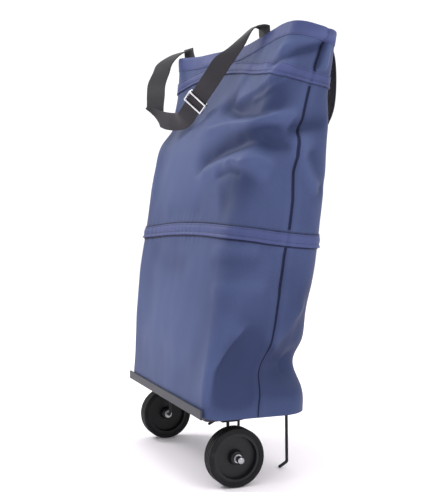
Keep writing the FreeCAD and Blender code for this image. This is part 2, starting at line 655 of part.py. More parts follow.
os.makedirs("parts", exist_ok=True)
make_base()
make_wheel_hinge()
make_wheel_leg()
make_stand()
make_wheel()
make_bag()
make_zip_slider()
make_handles()
make_strap_slider()
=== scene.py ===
import math

import bpy
import numpy as np
from mathutils import Matrix, Vector, noise


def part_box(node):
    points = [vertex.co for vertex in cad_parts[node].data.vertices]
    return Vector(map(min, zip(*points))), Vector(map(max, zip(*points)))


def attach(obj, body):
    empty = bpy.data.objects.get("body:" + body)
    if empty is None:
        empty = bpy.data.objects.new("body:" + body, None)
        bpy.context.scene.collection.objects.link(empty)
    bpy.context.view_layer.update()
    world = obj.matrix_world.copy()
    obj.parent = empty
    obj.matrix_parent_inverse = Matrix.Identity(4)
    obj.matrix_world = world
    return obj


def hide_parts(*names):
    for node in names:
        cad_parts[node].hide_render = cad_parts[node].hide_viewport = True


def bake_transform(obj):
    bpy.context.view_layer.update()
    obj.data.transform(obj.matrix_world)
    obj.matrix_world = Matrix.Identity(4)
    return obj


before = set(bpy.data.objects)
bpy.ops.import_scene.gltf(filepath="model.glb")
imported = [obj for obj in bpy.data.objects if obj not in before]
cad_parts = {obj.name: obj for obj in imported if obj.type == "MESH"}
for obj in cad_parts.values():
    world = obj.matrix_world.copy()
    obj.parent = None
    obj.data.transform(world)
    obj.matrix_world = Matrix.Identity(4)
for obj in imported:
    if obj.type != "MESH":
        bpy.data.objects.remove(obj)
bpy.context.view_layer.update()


# ------------------------------------------------------------------ Base tray and front strip
# The bag stands on a shallow moulded tray of grey polypropylene. Its front edge is closed by an
# extruded strip of the same plastic, and everything under the bag is riveted up through the tray.
class Pattern:
    """A number or colour that varies over a surface, worked out by the nodes of one material."""

    def __init__(self, tree, socket):
        self.tree = tree
        self.socket = socket

    def node(self, kind, settings, sockets, output=0):
        """Add a node, its settings first, then the value or link of each of its sockets."""
        added = self.tree.nodes.new(kind)
        for name, value in settings.items():
            setattr(added, name, value)
        for name, value in sockets.items():
            if isinstance(value, Pattern):
                self.tree.links.new(value.socket, added.inputs[name])
            else:
                added.inputs[name].default_value = value
        return Pattern(self.tree, added.outputs[output])

    def math(self, operation, *values):
        return self.node("ShaderNodeMath", {"operation": operation}, dict(enumerate(values)))

    def __add__(self, other):
        return self.math("ADD", self, other)

    def __radd__(self, other):
        return self.math("ADD", other, self)

    def __sub__(self, other):
        return self.math("SUBTRACT", self, other)

    def __rsub__(self, other):
        return self.math("SUBTRACT", other, self)

    def __mul__(self, other):
        return self.math("MULTIPLY", self, other)

    def __rmul__(self, other):
        return self.math("MULTIPLY", other, self)

    def wave(self, pitch):
        """A sine from 0 to 1 that repeats every pitch metres."""
        return self.math("SINE", self * (2 * math.pi / pitch)) * 0.5 + 0.5

    def step(self, low, high):
        """0 below low and 1 above high, smooth between."""
        ends = {"Value": self, "From Min": low, "From Max": high}
        return self.node("ShaderNodeMapRange", {"interpolation_type": "SMOOTHSTEP"}, ends)

    def mix(self, low, high):
        """The colour low where this is 0, and high where it is 1."""
        return self.node("ShaderNodeMix", {"data_type": "RGBA"}, {0: self, 6: low, 7: high}, 2)


class Finish:
    """One material: a surface with set constants, fed with patterns."""

    def __init__(self, name, **constants):
        self.material = bpy.data.materials.new(name)
        self.material.use_nodes = True
        self.tree = self.material.node_tree
        self.surface = self.tree.nodes["Principled BSDF"]
        for key, value in constants.items():
            self.surface.inputs[key.replace("_", " ")].default_value = value
        start = Pattern(self.tree, None)
        self.start = start
        self.place = start.node("ShaderNodeTexCoord", {}, {}, "Object")

    def speckle(self, scale, detail=2.0, place=None):
        """Soft random noise from 0 to 1, scale grains to the metre."""
        where = self.place if place is None else place
        return self.start.node("ShaderNodeTexNoise", {}, {"Vector": where, "Scale": scale, "Detail": detail})

    def stretched(self, x, y, z):
        """The place on the piece, stretched along each direction."""
        return self.start.node("ShaderNodeMapping", {}, {"Vector": self.place, "Scale": (x, y, z)})

    def along(self, axis):
        """The place on the piece along x, y or z, in metres."""
        return self.start.node("ShaderNodeSeparateXYZ", {}, {"Vector": self.place}, axis)

    def feed(self, socket, pattern):
        self.tree.links.new(pattern.socket, self.surface.inputs[socket])

    def raise_by(self, height, distance, strength=1.0):
        """Bump the surface by a height from 0 to 1, distance metres high."""
        sockets = {"Height": height, "Distance": distance, "Strength": strength}
        self.feed("Normal", self.start.node("ShaderNodeBump", {}, sockets))


def paint_node(finish, *names):
    """Give CAD pieces a finish, through the slots of their objects."""
    for name in names:
        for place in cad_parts[name].material_slots:
            place.link = "OBJECT"
            place.material = finish.material


def moulded_plastic(name, dark, light, roughness):
    """Moulded plastic: a fine spark-eroded texture, dulled patches and faint scuffs along x."""
    finish = Finish(name, Specular_IOR_Level=0.3)
    grain = finish.speckle(1400.0, 3.0)
    patches = finish.speckle(22.0, 3.0)
    scuffs = finish.speckle(60.0, 4.0, finish.stretched(1.0, 14.0, 14.0)).step(0.62, 0.75)
    shade = (grain * 0.35 + patches * 0.65).step(0.3, 0.7)
    finish.feed("Base Color", (scuffs * 0.35 + shade * 0.65).mix(dark, light))
    finish.feed("Roughness", patches * 0.16 + scuffs * 0.12 + (roughness - 0.08))
    finish.raise_by(grain + scuffs * 0.4, 0.00008, 0.5)
    return finish


grey_plastic = moulded_plastic("grey_plastic", (0.022, 0.023, 0.030, 1), (0.046, 0.048, 0.062, 1), 0.5)
paint_node(grey_plastic, "base_tray", "front_edge_strip")


# ------------------------------------------------------------------ Board and rivets
# The bag's stiff bottom is a sheet of brown hardboard. Ten steel rivets with low round heads hold
# the board, the cloth bottom, the tray and the hinge blocks together.
hardboard = Finish("hardboard", Specular_IOR_Level=0.25)
fibres = hardboard.speckle(240.0, 6.0, hardboard.stretched(1.0, 3.0, 1.0))
press_marks = hardboard.speckle(1500.0, 2.0)
hardboard.feed("Base Color", (fibres * 0.8 + press_marks * 0.2).step(0.3, 0.7).mix(
    (0.075, 0.042, 0.022, 1), (0.165, 0.098, 0.052, 1)))
hardboard.feed("Roughness", fibres * 0.2 + 0.62)
hardboard.raise_by(fibres * 0.6 + press_marks * 0.4, 0.00015, 0.6)
paint_node(hardboard, "base_board")


def bare_metal(name, colour, roughness, brushed):
    """Plated or bare metal with fine random scratches and finger-dulled patches."""
    finish = Finish(name, Metallic=1.0)
    scratches = finish.speckle(900.0, 4.0, finish.stretched(1.0, 6.0, 6.0))
    patches = finish.speckle(120.0, 2.0)
    dark = tuple(part * 0.72 for part in colour) + (1,)
    finish.feed("Base Color", patches.step(0.25, 0.65).mix(dark, colour + (1,)))
    finish.feed("Roughness", scratches * brushed + patches * 0.06 + roughness)
    finish.raise_by(scratches, 0.00003, 0.4)
    return finish


rivet_metal = bare_metal("rivet_metal", (0.55, 0.55, 0.57), 0.3, 0.15)
paint_node(rivet_metal, "base_rivets")


# ------------------------------------------------------------------ Hinge blocks and their pins
# Black nylon blocks under the tray hold steel pins, on which the wire legs turn. The wheel pins
# end in a short bent tail at the front, which keeps them from sliding out.
wheel_plastic = moulded_plastic("wheel_plastic", (0.004, 0.004, 0.005, 1), (0.012, 0.012, 0.014, 1), 0.42)
black_wire = Finish("black_wire", Specular_IOR_Level=0.3)
powder = black_wire.speckle(2600.0, 2.0)
rubbed = black_wire.speckle(180.0, 4.0).step(0.6, 0.78)
black_wire.feed("Base Color", rubbed.mix((0.003, 0.003, 0.004, 1), (0.018, 0.018, 0.020, 1)))
black_wire.feed("Roughness", powder * 0.2 + 0.3)
black_wire.raise_by(powder, 0.00006, 0.5)
for side in ("right", "left"):
    paint_node(wheel_plastic, "wheel_hinge_block_" + side, "stand_hinge_block_" + side)
    paint_node(black_wire, "wheel_hinge_pin_" + side, "stand_hinge_pin_" + side)


# ------------------------------------------------------------------ Wire legs
# Both wheel legs and both rear stand legs are bent from black powder-coated steel wire, each with
# a welded eye round its pin. They fold inwards under the tray.
for side in ("right", "left"):
    paint_node(black_wire, "wheel_leg_" + side, "stand_leg_" + side)


# ------------------------------------------------------------------ Wheels
# Each wheel is a moulded black disc with a dished face and a softer tyre with three grooves. It
# turns on a black nylon bush between two washers, and a domed chrome cap closes the end of the wire.
tyre_rubber = Finish("tyre_rubber", Specular_IOR_Level=0.2)
rubber_grain = tyre_rubber.speckle(1800.0, 3.0)
dust = tyre_rubber.speckle(75.0, 5.0).step(0.48, 0.75)
tyre_rubber.feed("Base Color", dust.mix((0.004, 0.004, 0.005, 1), (0.015, 0.015, 0.017, 1)))
tyre_rubber.feed("Roughness", rubber_grain * 0.15 + dust * 0.12 + 0.5)
tyre_rubber.raise_by(rubber_grain, 0.0001, 0.5)
nylon_bush = Finish("nylon_bush", Specular_IOR_Level=0.5, Roughness=0.4)
bush_grain = nylon_bush.speckle(700.0, 3.0)
nylon_bush.feed("Base Color", bush_grain.mix((0.020, 0.020, 0.022, 1), (0.040, 0.040, 0.044, 1)))
nylon_bush.raise_by(bush_grain, 0.00005, 0.4)
chrome = bare_metal("chrome", (0.74, 0.74, 0.76), 0.08, 0.1)
cap_chrome = bare_metal("cap_chrome", (0.40, 0.40, 0.42), 0.12, 0.1)
for side in ("right", "left"):
    paint_node(tyre_rubber, "tyre_" + side)
    paint_node(wheel_plastic, "wheel_disc_" + side)
    paint_node(nylon_bush, "wheel_bush_" + side)
    paint_node(rivet_metal, "axle_washers_" + side)
    paint_node(cap_chrome, "axle_cap_" + side)


# ------------------------------------------------------------------ The bag's cut
# The bag is one tall sleeve of navy polyester cloth in three storeys, leaning back and slumped a
# little under its own weight. Its outline is given at levels, and its folds are sculpted on that.
axle = (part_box("tyre_right")[0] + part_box("tyre_right")[1]) / 2
CLOTH = 0.0012
# height, half width, half depth, middle behind the axle, twist in degrees, corner radius at the
# right front, at the back and at the left front
BAG_LEVELS = np.array([
    (0.0893, 0.1490, 0.0735, 0.0265, 0.0, 0.008, 0.040, 0.010),
    (0.1400, 0.1485, 0.0715, 0.0300, 1.0, 0.010, 0.042, 0.014),
    (0.2000, 0.1485, 0.0700, 0.0350, 2.6, 0.022, 0.038, 0.017),
    (0.2640, 0.1485, 0.0690, 0.0400, 4.1, 0.030, 0.034, 0.018),
    (0.3070, 0.1490, 0.0665, 0.0450, 4.9, 0.033, 0.033, 0.018),
    (0.3700, 0.1490, 0.0650, 0.0540, 5.3, 0.033, 0.033, 0.018),
    (0.4230, 0.1490, 0.0610, 0.0615, 5.6, 0.031, 0.032, 0.018),
    (0.4560, 0.1490, 0.0550, 0.0700, 5.9, 0.028, 0.031, 0.018),
    (0.4950, 0.1485, 0.0450, 0.0780, 6.3, 0.024, 0.029, 0.018),
    (0.5350, 0.1470, 0.0395, 0.0855, 8.0, 0.020, 0.027, 0.016),
    (0.5750, 0.1450, 0.0340, 0.0925, 10.0, 0.017, 0.024, 0.014),
])
GRID_LOW = 0.082
GRID_HIGH = 0.600
GRID_STEP = 0.0015
GRID_COLUMNS = 1440


def level_value(height, column):
    """One value of the bag's levels at a height, eased from level to level."""
    spread = (-0.014, -0.007, 0.0, 0.007, 0.014)
    return sum(np.interp(height + s, BAG_LEVELS[:, 0], BAG_LEVELS[:, column]) for s in spread) / 5


def cut_outline(height, shares):
    """The bag's outline at one height: x, y and its length. Share 0 is the middle of the front."""
    wide, deep, middle, twist, right_front, back, left_front = (level_value(height, k) for k in range(1, 8))
    corners = ((1, -1, -90, right_front), (1, 1, 0, back), (-1, 1, 90, back), (-1, -1, 180, left_front))
    points = [(0.0, -deep)]
    for side_x, side_y, start, radius in corners:
        for step in range(17):
            turn = math.radians(start + 90 * step / 16)
            points.append((side_x * (wide - radius) + radius * math.cos(turn),
                           side_y * (deep - radius) + radius * math.sin(turn)))
    points.append((0.0, -deep))
    points = np.array(points)
    lengths = np.concatenate([[0.0], np.cumsum(np.hypot(*np.diff(points, axis=0).T))])
    x = np.interp(shares * lengths[-1], lengths, points[:, 0])
    y = np.interp(shares * lengths[-1], lengths, points[:, 1])
    turn = math.radians(twist)
    return x * math.cos(turn) - y * math.sin(turn), x * math.sin(turn) + y * math.cos(turn) + middle, lengths[-1]


grid_heights = np.arange(GRID_LOW, GRID_HIGH, GRID_STEP)
grid_shares = np.arange(GRID_COLUMNS) / GRID_COLUMNS
cut = [cut_outline(height, grid_shares) for height in grid_heights]
girth = np.array([c[2] for c in cut])
grid = np.stack([
    np.array([c[0] for c in cut]),
    np.array([c[1] for c in cut]) + axle.y,
    np.repeat(grid_heights[:, None], GRID_COLUMNS, 1),
], axis=-1)
# Round the bag from the middle of the front, in metres: positive to the right, negative to the left
grid_around = np.where(grid_shares > 0.5, grid_shares - 1, grid_shares)[None, :] * girth[:, None]


def outward(surface):
    """The direction out of the bag at each point of a grid over it."""
    sideways = np.roll(surface, -3, axis=1) - np.roll(surface, 3, axis=1)
    upward = np.gradient(surface, axis=0)
    normal = np.cross(sideways, upward)
    return normal / np.linalg.norm(normal, axis=-1, keepdims=True)


relief = np.zeros_like(grid_around)


def reach(path):
    """How far each grid point is from a path of (around, height), on which side, and how far along."""
    nearest = np.full(grid_around.shape, 9.0)
    side = np.zeros_like(nearest)
    along = np.zeros_like(nearest)
    half_girth = girth[:, None] / 2
    for i, (first, last) in enumerate(zip(path, path[1:])):
        run = last[0] - first[0]
        rise = last[1] - first[1]
        across = (grid_around - first[0] + half_girth) % (2 * half_girth) - half_girth
        above = grid_heights[:, None] - first[1]
        part = np.clip((across * run + above * rise) / (run * run + rise * rise), 0, 1)
        distance = np.hypot(across - part * run, above - part * rise)
        closer = distance < nearest
        nearest = np.where(closer, distance, nearest)
        side = np.where(closer, np.sign(run * above - rise * across), side)
        along = np.where(closer, (i + part) / (len(path) - 1), along)
    return nearest, side, along


def fold(path, depth, left, right, crisp=0.0):
    """Raise (or tuck, below 0) the cloth along a path, easing off over left and right metres.

    crisp is how sharp the line itself is, from 0 for a soft roll to 1 for a hard crease."""
    global relief
    distance, side, along = reach(path)
    width = np.where(side > 0, left, right)
    soft = np.exp(-(distance / width) ** 2)
    hard = np.exp(-(np.sqrt(distance ** 2 + 0.0012 ** 2) - 0.0012) / (width * 0.6))
    ends = np.clip(np.minimum(along, 1 - along) * 5, 0, 1)
    ends = ends * ends * (3 - 2 * ends)
    relief = relief + depth * (soft * (1 - crisp) + hard * crisp) * ends


def swell(around, height, depth, wide, tall):
    """Press one soft round bulge or dent into the cloth."""
    global relief
    half_girth = girth[:, None] / 2
    across = (grid_around - around + half_girth) % (2 * half_girth) - half_girth
    relief = relief + depth * np.exp(-(across / wide) ** 2 - ((grid_heights[:, None] - height) / tall) ** 2)


# Lower storey: the tucked gusset behind the right front edge, and the pinched back corners
fold([(0.147, 0.080), (0.146, 0.144), (0.155, 0.160), (0.167, 0.180), (0.180, 0.206)], 0.0046, 0.026, 0.007, 0.9)
swell(0.184, 0.138, -0.0085, 0.030, 0.045)
swell(0.170, 0.160, -0.0045, 0.016, 0.030)
fold([(0.268, 0.222), (0.245, 0.205), (0.236, 0.188), (0.226, 0.175), (0.217, 0.158)], 0.0040, 0.012, 0.020, 0.6)
swell(0.262, 0.141, -0.0200, 0.052, 0.022)
swell(0.262, 0.195, -0.0065, 0.034, 0.040)
swell(-0.258, 0.150, -0.0120, 0.040, 0.034)
fold([(0.219, 0.096), (0.214, 0.135), (0.216, 0.170)], 0.0016, 0.012, 0.007, 0.5)
for around, height, depth in ((0.145, 0.288, 0.0012), (0.150, 0.271, -0.0010), (0.162, 0.243, 0.0011)):
    fold([(around - 0.055, height - 0.002), (around, height + 0.002), (around + 0.035, height)], depth, 0.008, 0.010)
fold([(-0.10, 0.285), (-0.02, 0.262), (0.05, 0.266)], -0.0011, 0.012, 0.018)
fold([(-0.12, 0.150), (-0.03, 0.175), (0.06, 0.168), (0.11, 0.150)], 0.0012, 0.030, 0.022)
fold([(0.215, 0.230), (0.216, 0.262), (0.212, 0.290)], -0.0010, 0.014, 0.014)

# Middle storey: two slumped rolls across the front, and the crease where the side gives way
fold([(0.158, 0.520), (0.140, 0.513), (0.126, 0.499), (0.098, 0.487), (0.071, 0.478), (0.040, 0.470)],
     0.0050, 0.012, 0.030, 0.6)
swell(0.118, 0.488, -0.0050, 0.034, 0.020)
fold([(0.020, 0.470), (0.049, 0.470), (0.086, 0.459), (0.126, 0.456), (0.150, 0.463), (0.180, 0.456)],
     -0.0060, 0.018, 0.010, 0.45)
fold([(-0.02, 0.440), (0.035, 0.440), (0.080, 0.446), (0.128, 0.446), (0.165, 0.449), (0.190, 0.444)],
     0.0052, 0.012, 0.012, 0.35)
fold([(0.012, 0.374), (0.034, 0.397), (0.074, 0.409), (0.122, 0.419), (0.145, 0.424), (0.165, 0.418), (0.196, 0.411)],
     -0.0074, 0.018, 0.010, 0.5)
fold([(0.020, 0.384), (0.060, 0.396), (0.120, 0.400), (0.160, 0.400)], 0.0030, 0.012, 0.016, 0.1)
fold([(0.146, 0.424), (0.168, 0.417), (0.197, 0.410)], -0.0020, 0.006, 0.006, 0.7)
fold([(0.125, 0.400), (0.146, 0.386), (0.170, 0.372)], 0.0018, 0.012, 0.010, 0.3)
fold([(0.150, 0.447), (0.163, 0.456), (0.186, 0.450)], 0.0030, 0.006, 0.006, 0.6)
fold([(0.176, 0.434), (0.198, 0.438), (0.214, 0.441), (0.240, 0.441)], -0.0050, 0.012, 0.008, 0.7)
fold([(0.193, 0.434), (0.209, 0.404), (0.225, 0.379), (0.250, 0.352)], 0.0040, 0.020, 0.010, 0.4)
fold([(0.215, 0.416), (0.236, 0.383), (0.262, 0.352)], -0.0035, 0.010, 0.018, 0.2)
fold([(0.09, 0.340), (0.125, 0.358), (0.150, 0.386)], -0.0028, 0.026, 0.022)
fold([(0.085, 0.388), (0.112, 0.397), (0.128, 0.392), (0.150, 0.398), (0.180, 0.390)], 0.0030, 0.007, 0.006, 0.6)
fold([(0.070, 0.376), (0.105, 0.385), (0.135, 0.380)], -0.0024, 0.008, 0.006, 0.4)
fold([(0.095, 0.424), (0.125, 0.430), (0.150, 0.436), (0.180, 0.434)], -0.0026, 0.006, 0.006, 0.6)
swell(-0.010, 0.365, 0.0020, 0.060, 0.040)
swell(-0.145, 0.455, -0.0062, 0.050, 0.020)
swell(-0.145, 0.395, -0.0022, 0.050, 0.050)
swell(-0.145, 0.300, -0.0012, 0.050, 0.040)
swell(-0.145, 0.190, 0.0018, 0.040, 0.070)
swell(-0.145, 0.525, 0.0030, 0.045, 0.022)
swell(-0.140, 0.562, 0.0082, 0.036, 0.026)
swell(0.000, 0.180, 0.0030, 0.095, 0.110)
swell(-0.030, 0.400, 0.0030, 0.090, 0.070)
swell(0.258, 0.488, -0.0050, 0.030, 0.030)
fold([(-0.134, 0.470), (-0.130, 0.424), (-0.128, 0.387), (-0.119, 0.340)], 0.0022, 0.012, 0.012, 0.2)
fold([(-0.060, 0.330), (0.000, 0.338), (0.060, 0.333)], -0.0012, 0.016, 0.014)

fold([(0.060, 0.462), (0.090, 0.452), (0.130, 0.449), (0.156, 0.455)], -0.0012, 0.004, 0.004, 0.9)
fold([(0.044, 0.404), (0.072, 0.415), (0.118, 0.424), (0.146, 0.429), (0.170, 0.424)], -0.0014, 0.004, 0.004, 0.9)
fold([(0.094, 0.473), (0.118, 0.480), (0.140, 0.492), (0.156, 0.503)], 0.0016, 0.005, 0.004, 0.8)

# The hidden sides, slumped in the same way
fold([(-0.185, 0.452), (-0.215, 0.446), (-0.250, 0.455)], -0.0045, 0.014, 0.010, 0.5)
fold([(-0.150, 0.410), (-0.185, 0.420), (-0.225, 0.414), (-0.262, 0.426)], -0.0040, 0.014, 0.010, 0.4)
fold([(0.300, 0.455), (0.345, 0.446), (0.395, 0.452), (0.425, 0.448)], -0.0045, 0.018, 0.012, 0.35)
fold([(0.285, 0.405), (0.330, 0.398), (0.375, 0.408), (0.420, 0.400)], -0.0040, 0.020, 0.014, 0.3)
fold([(-0.300, 0.420), (-0.345, 0.432), (-0.400, 0.424)], -0.0035, 0.018, 0.012, 0.3)
fold([(0.300, 0.240), (0.350, 0.222), (0.410, 0.230)], -0.0030, 0.024, 0.020)
fold([(-0.280, 0.250), (-0.340, 0.238), (-0.400, 0.246)], -0.0030, 0.024, 0.020)
fold([(-0.185, 0.130), (-0.200, 0.170), (-0.225, 0.205)], 0.0030, 0.016, 0.012, 0.4)

# Collar: creased where it is squeezed at the right side, and loose along the rim
fold([(0.110, 0.512), (0.132, 0.520), (0.150, 0.531), (0.168, 0.536), (0.192, 0.546)], -0.0042, 0.010, 0.007, 0.7)
fold([(0.120, 0.528), (0.146, 0.541), (0.172, 0.548), (0.188, 0.558)], 0.0032, 0.012, 0.008, 0.4)
fold([(0.198, 0.558), (0.194, 0.538), (0.199, 0.506)], 0.0034, 0.006, 0.010, 0.7)
fold([(0.186, 0.552), (0.186, 0.530), (0.187, 0.508)], -0.0040, 0.006, 0.006, 0.6)
fold([(-0.09, 0.548), (-0.04, 0.540), (0.02, 0.540)], 0.0014, 0.010, 0.010, 0.2)
fold([(0.260, 0.515), (0.300, 0.540), (0.340, 0.530)], -0.0025, 0.014, 0.012, 0.3)

# Soft unevenness of the whole cloth
rows = np.linspace(GRID_LOW, GRID_HIGH, 105)
columns = np.arange(289) / 288
rumple = np.array([[
    noise.noise(Vector((math.cos(2 * math.pi * c) * 2.3, math.sin(2 * math.pi * c) * 2.3, r * 13.0)))
    + 0.3 * noise.noise(Vector((math.cos(2 * math.pi * c) * 6.0, math.sin(2 * math.pi * c) * 6.0, r * 34.0 + 7.0)))
    for c in columns] for r in rows])
rumple = np.stack([np.interp(grid_shares, columns, row) for row in rumple])
rumple = np.stack([np.interp(grid_heights, rows, rumple[:, k]) for k in range(GRID_COLUMNS)], axis=1)
relief = relief * 1.4 + rumple * 0.0012

# Seams run up the middle of each side; the right one wanders as the cloth slumps
right_seam = np.array([
    (0.080, 0.2165), (0.107, 0.217), (0.134, 0.216), (0.165, 0.218), (0.199, 0.217), (0.236, 0.2145),
    (0.262, 0.213), (0.292, 0.210), (0.312, 0.210), (0.348, 0.208), (0.382, 0.202), (0.400, 0.203),
    (0.412, 0.2005), (0.424, 0.1985), (0.432, 0.1965), (0.437, 0.1980), (0.448, 0.1965), (0.459, 0.193), (0.477, 0.189),
    (0.494, 0.186), (0.536, 0.185), (0.600, 0.184),
])
left_seam = np.array([(0.080, -0.217), (0.307, -0.211), (0.430, -0.203), (0.495, -0.186), (0.600, -0.184)])


def seam_share(seam, height):
    """Where a side seam is at a height, as a share of the way round."""
    around = np.interp(height, seam[:, 0], seam[:, 1])
    return around / np.interp(height, grid_heights, girth)


# Lines round the bag, as heights for each share: the bottoms of the two zip bands, and the rim
def line_round(points):
    """A height that changes smoothly round the bag, from (around, height) points."""
    girth_here = np.interp(np.mean([p[1] for p in points]), grid_heights, girth)
    shares = np.array([p[0] for p in points]) / girth_here
    heights = np.array([p[1] for p in points])
    shares = np.concatenate([shares - 1, shares, shares + 1])
    heights = np.tile(heights, 3)
    steps = np.arange(-8, 9) * 0.0035
    return sum(np.interp(grid_shares + s, shares, heights) for s in steps) / len(steps)


middle_line = line_round([
    (-0.32, 0.292), (-0.215, 0.292), (-0.160, 0.294), (-0.129, 0.296), (-0.060, 0.3005), (-0.011, 0.303),
    (0.058, 0.304), (0.099, 0.303), (0.145, 0.301), (0.171, 0.297), (0.200, 0.2935), (0.214, 0.2915),
    (0.261, 0.288), (0.300, 0.2905), (0.33, 0.292),
])
upper_line = line_round([
    (-0.300, 0.495), (-0.215, 0.498), (-0.160, 0.503), (-0.134, 0.508), (-0.108, 0.516), (-0.055, 0.522),
    (0.000, 0.521), (0.040, 0.5175), (0.066, 0.513), (0.091, 0.508), (0.115, 0.507), (0.141, 0.502),
    (0.169, 0.496), (0.200, 0.491), (0.240, 0.489), (0.300, 0.492),
])
rim_line = line_round([
    (-0.300, 0.568), (-0.215, 0.562), (-0.160, 0.559), (-0.137, 0.558), (-0.082, 0.5575), (-0.007, 0.556),
    (0.017, 0.553), (0.040, 0.556), (0.064, 0.562), (0.085, 0.567), (0.124, 0.574), (0.140, 0.571),
    (0.166, 0.568), (0.196, 0.562), (0.230, 0.564), (0.290, 0.570),
])


def pucker(line, rise, size, phase):
    """Fine gathers beside a line of stitching."""
    global relief
    away = grid_heights[:, None] - (line[None, :] + rise)
    ripple = np.sin(2 * math.pi * grid_around / 0.0135 + phase + 2.2 * np.sin(grid_around * 31.0))
    ripple = ripple * (0.6 + 0.4 * np.sin(grid_around * 47.0 + phase))
    relief = relief + size * ripple * np.exp(-(away / 0.011) ** 2)


pucker(middle_line, 0.000, 0.00022, 0.3)
pucker(middle_line, 0.018, 0.00018, 1.1)
pucker(upper_line, -0.003, 0.00025, 2.0)
pucker(upper_line, 0.016, 0.00022, 2.9)
pucker(rim_line, -0.017, 0.00025, 4.1)
for seam, sign in ((right_seam, 1), (left_seam, -1)):
    distance = grid_around - np.interp(grid_heights, seam[:, 0], seam[:, 1])[:, None]
    relief = relief - 0.0012 * np.exp(-(distance / 0.0028) ** 2)
    relief = relief + 0.0006 * np.exp(-((np.abs(distance) - 0.0075) / 0.004) ** 2)
# The cloth lies flat where it meets the tray's rim
relief = relief * np.clip((grid_heights - 0.084) / 0.02, 0.12, 1)[:, None]

sculpted = grid + outward(grid) * relief[..., None]
out_direction = outward(sculpted)


def from_grid(table, share, height):
    """A value of a grid over the bag, at any share and height."""
    row = np.clip((height - GRID_LOW) / GRID_STEP, 0, len(grid_heights) - 1.001)
    column = (share % 1.0) * GRID_COLUMNS
    low_row = row.astype(int)
    low = column.astype(int) % GRID_COLUMNS
    high = (low + 1) % GRID_COLUMNS
    row_part = (row - low_row)[..., None]
    column_part = (column - np.floor(column))[..., None]
    near = table[low_row, low] * (1 - column_part) + table[low_row, high] * column_part
    far = table[low_row + 1, low] * (1 - column_part) + table[low_row + 1, high] * column_part
    return near * (1 - row_part) + far * row_part


def on_bag(share, height, outset):
    """The point on the bag's cloth at a share and height, moved outset metres out of it."""
    direction = from_grid(out_direction, share, height)
    direction = direction / np.linalg.norm(direction, axis=-1, keepdims=True)
    return from_grid(sculpted, share, height) + direction * np.asarray(outset)[..., None]


def line_height(line, share):
    """The height of a line round the bag at a share."""
    return np.interp(share % 1.0, np.append(grid_shares, 1.0), np.append(line, line[0]))


# ------------------------------------------------------------------ Cloth of the lower storey
# The lower storey is a sleeve of navy 600-denier polyester with a coated inside. It is sewn up the
# middle of each side, and its bottom is sewn to the cloth that lies under the board.
SLEEVE_COLUMNS = 360


def deselect():
    if bpy.context.object is not None and bpy.context.object.mode != "OBJECT":
        bpy.ops.object.mode_set(mode="OBJECT")
    bpy.ops.object.select_all(action="DESELECT")


def apply_modifier(piece, kind, **settings):
    """Add a modifier, set it and apply it."""
    bpy.context.view_layer.objects.active = piece
    modifier = piece.modifiers.new(kind.lower(), kind)
    for name, value in settings.items():
        setattr(modifier, name, value)
    bpy.ops.object.modifier_apply(modifier=modifier.name)


def vertex_places(piece):
    flat = np.empty(len(piece.data.vertices) * 3, np.float64)
    piece.data.vertices.foreach_get("co", flat)
    return flat.reshape(-1, 3)


def move_vertices(piece, places):
    piece.data.vertices.foreach_set("co", places.astype(np.float32).ravel())
    piece.data.update()


def drawn_sleeve(name, columns, rows, closed=False):
    """A sleeve drawn up from a circle of edges, row by row. Returns it, each share and each row."""
    deselect()
    bpy.ops.mesh.primitive_circle_add(vertices=columns, radius=1.0)
    sleeve = bpy.context.object
    sleeve.name = name
    bpy.ops.object.mode_set(mode="EDIT")
    bpy.ops.mesh.select_all(action="SELECT")
    for _ in range(rows - 1):
        bpy.ops.mesh.extrude_edges_move(TRANSFORM_OT_translate={"value": (0, 0, 1)})
    if closed:
        bpy.ops.mesh.select_all(action="DESELECT")
        bpy.ops.object.mode_set(mode="OBJECT")
        heights = vertex_places(sleeve)[:, 2]
        for edge in sleeve.data.edges:
            ends = [heights[v] for v in edge.vertices]
            edge.select = bool(max(ends) < 0.5 or min(ends) > rows - 1.5)
        bpy.ops.object.mode_set(mode="EDIT")
        bpy.ops.mesh.select_mode(type="EDGE")
        bpy.ops.mesh.bridge_edge_loops()
    bpy.ops.object.mode_set(mode="OBJECT")
    places = vertex_places(sleeve)
    share = (np.arctan2(places[:, 1], places[:, 0]) / (2 * math.pi)) % 1.0
    share = np.round(share * columns) / columns % 1.0
    row = np.round(places[:, 2]).astype(int)
    return sleeve, share, row


def face_outwards(piece, out_of=None):
    """Turn every face outwards."""
    deselect()
    piece.select_set(True)
    bpy.context.view_layer.objects.active = piece
    bpy.ops.object.mode_set(mode="EDIT")
    bpy.ops.mesh.select_all(action="SELECT")
    bpy.ops.mesh.normals_make_consistent(inside=False)
    bpy.ops.object.mode_set(mode="OBJECT")
    if out_of is not None:
        face = piece.data.polygons[len(piece.data.polygons) // 2]
        if face.normal.dot(face.center - Vector(out_of)) < 0:
            piece.data.flip_normals()


def spread_map(piece, across, along):
    """The piece's own UV map, in metres across and along the cloth."""
    layer = piece.data.uv_layers.new(name="spread")
    corners = np.empty(len(piece.data.loops), int)
    piece.data.loops.foreach_get("vertex_index", corners)
    starts = np.empty(len(piece.data.polygons), int)
    totals = np.empty(len(piece.data.polygons), int)
    piece.data.polygons.foreach_get("loop_start", starts)
    piece.data.polygons.foreach_get("loop_total", totals)
    face = np.repeat(np.arange(len(starts)), totals)
    across = across[corners].copy()
    widest = np.full(len(starts), -9.0)
    np.maximum.at(widest, face, across)
    span = across.max() - across.min()
    across = np.where(widest[face] - across > span * 0.5, across + span, across)
    layer.data.foreach_set("uv", np.stack([across, along[corners]], 1).astype(np.float32).ravel())


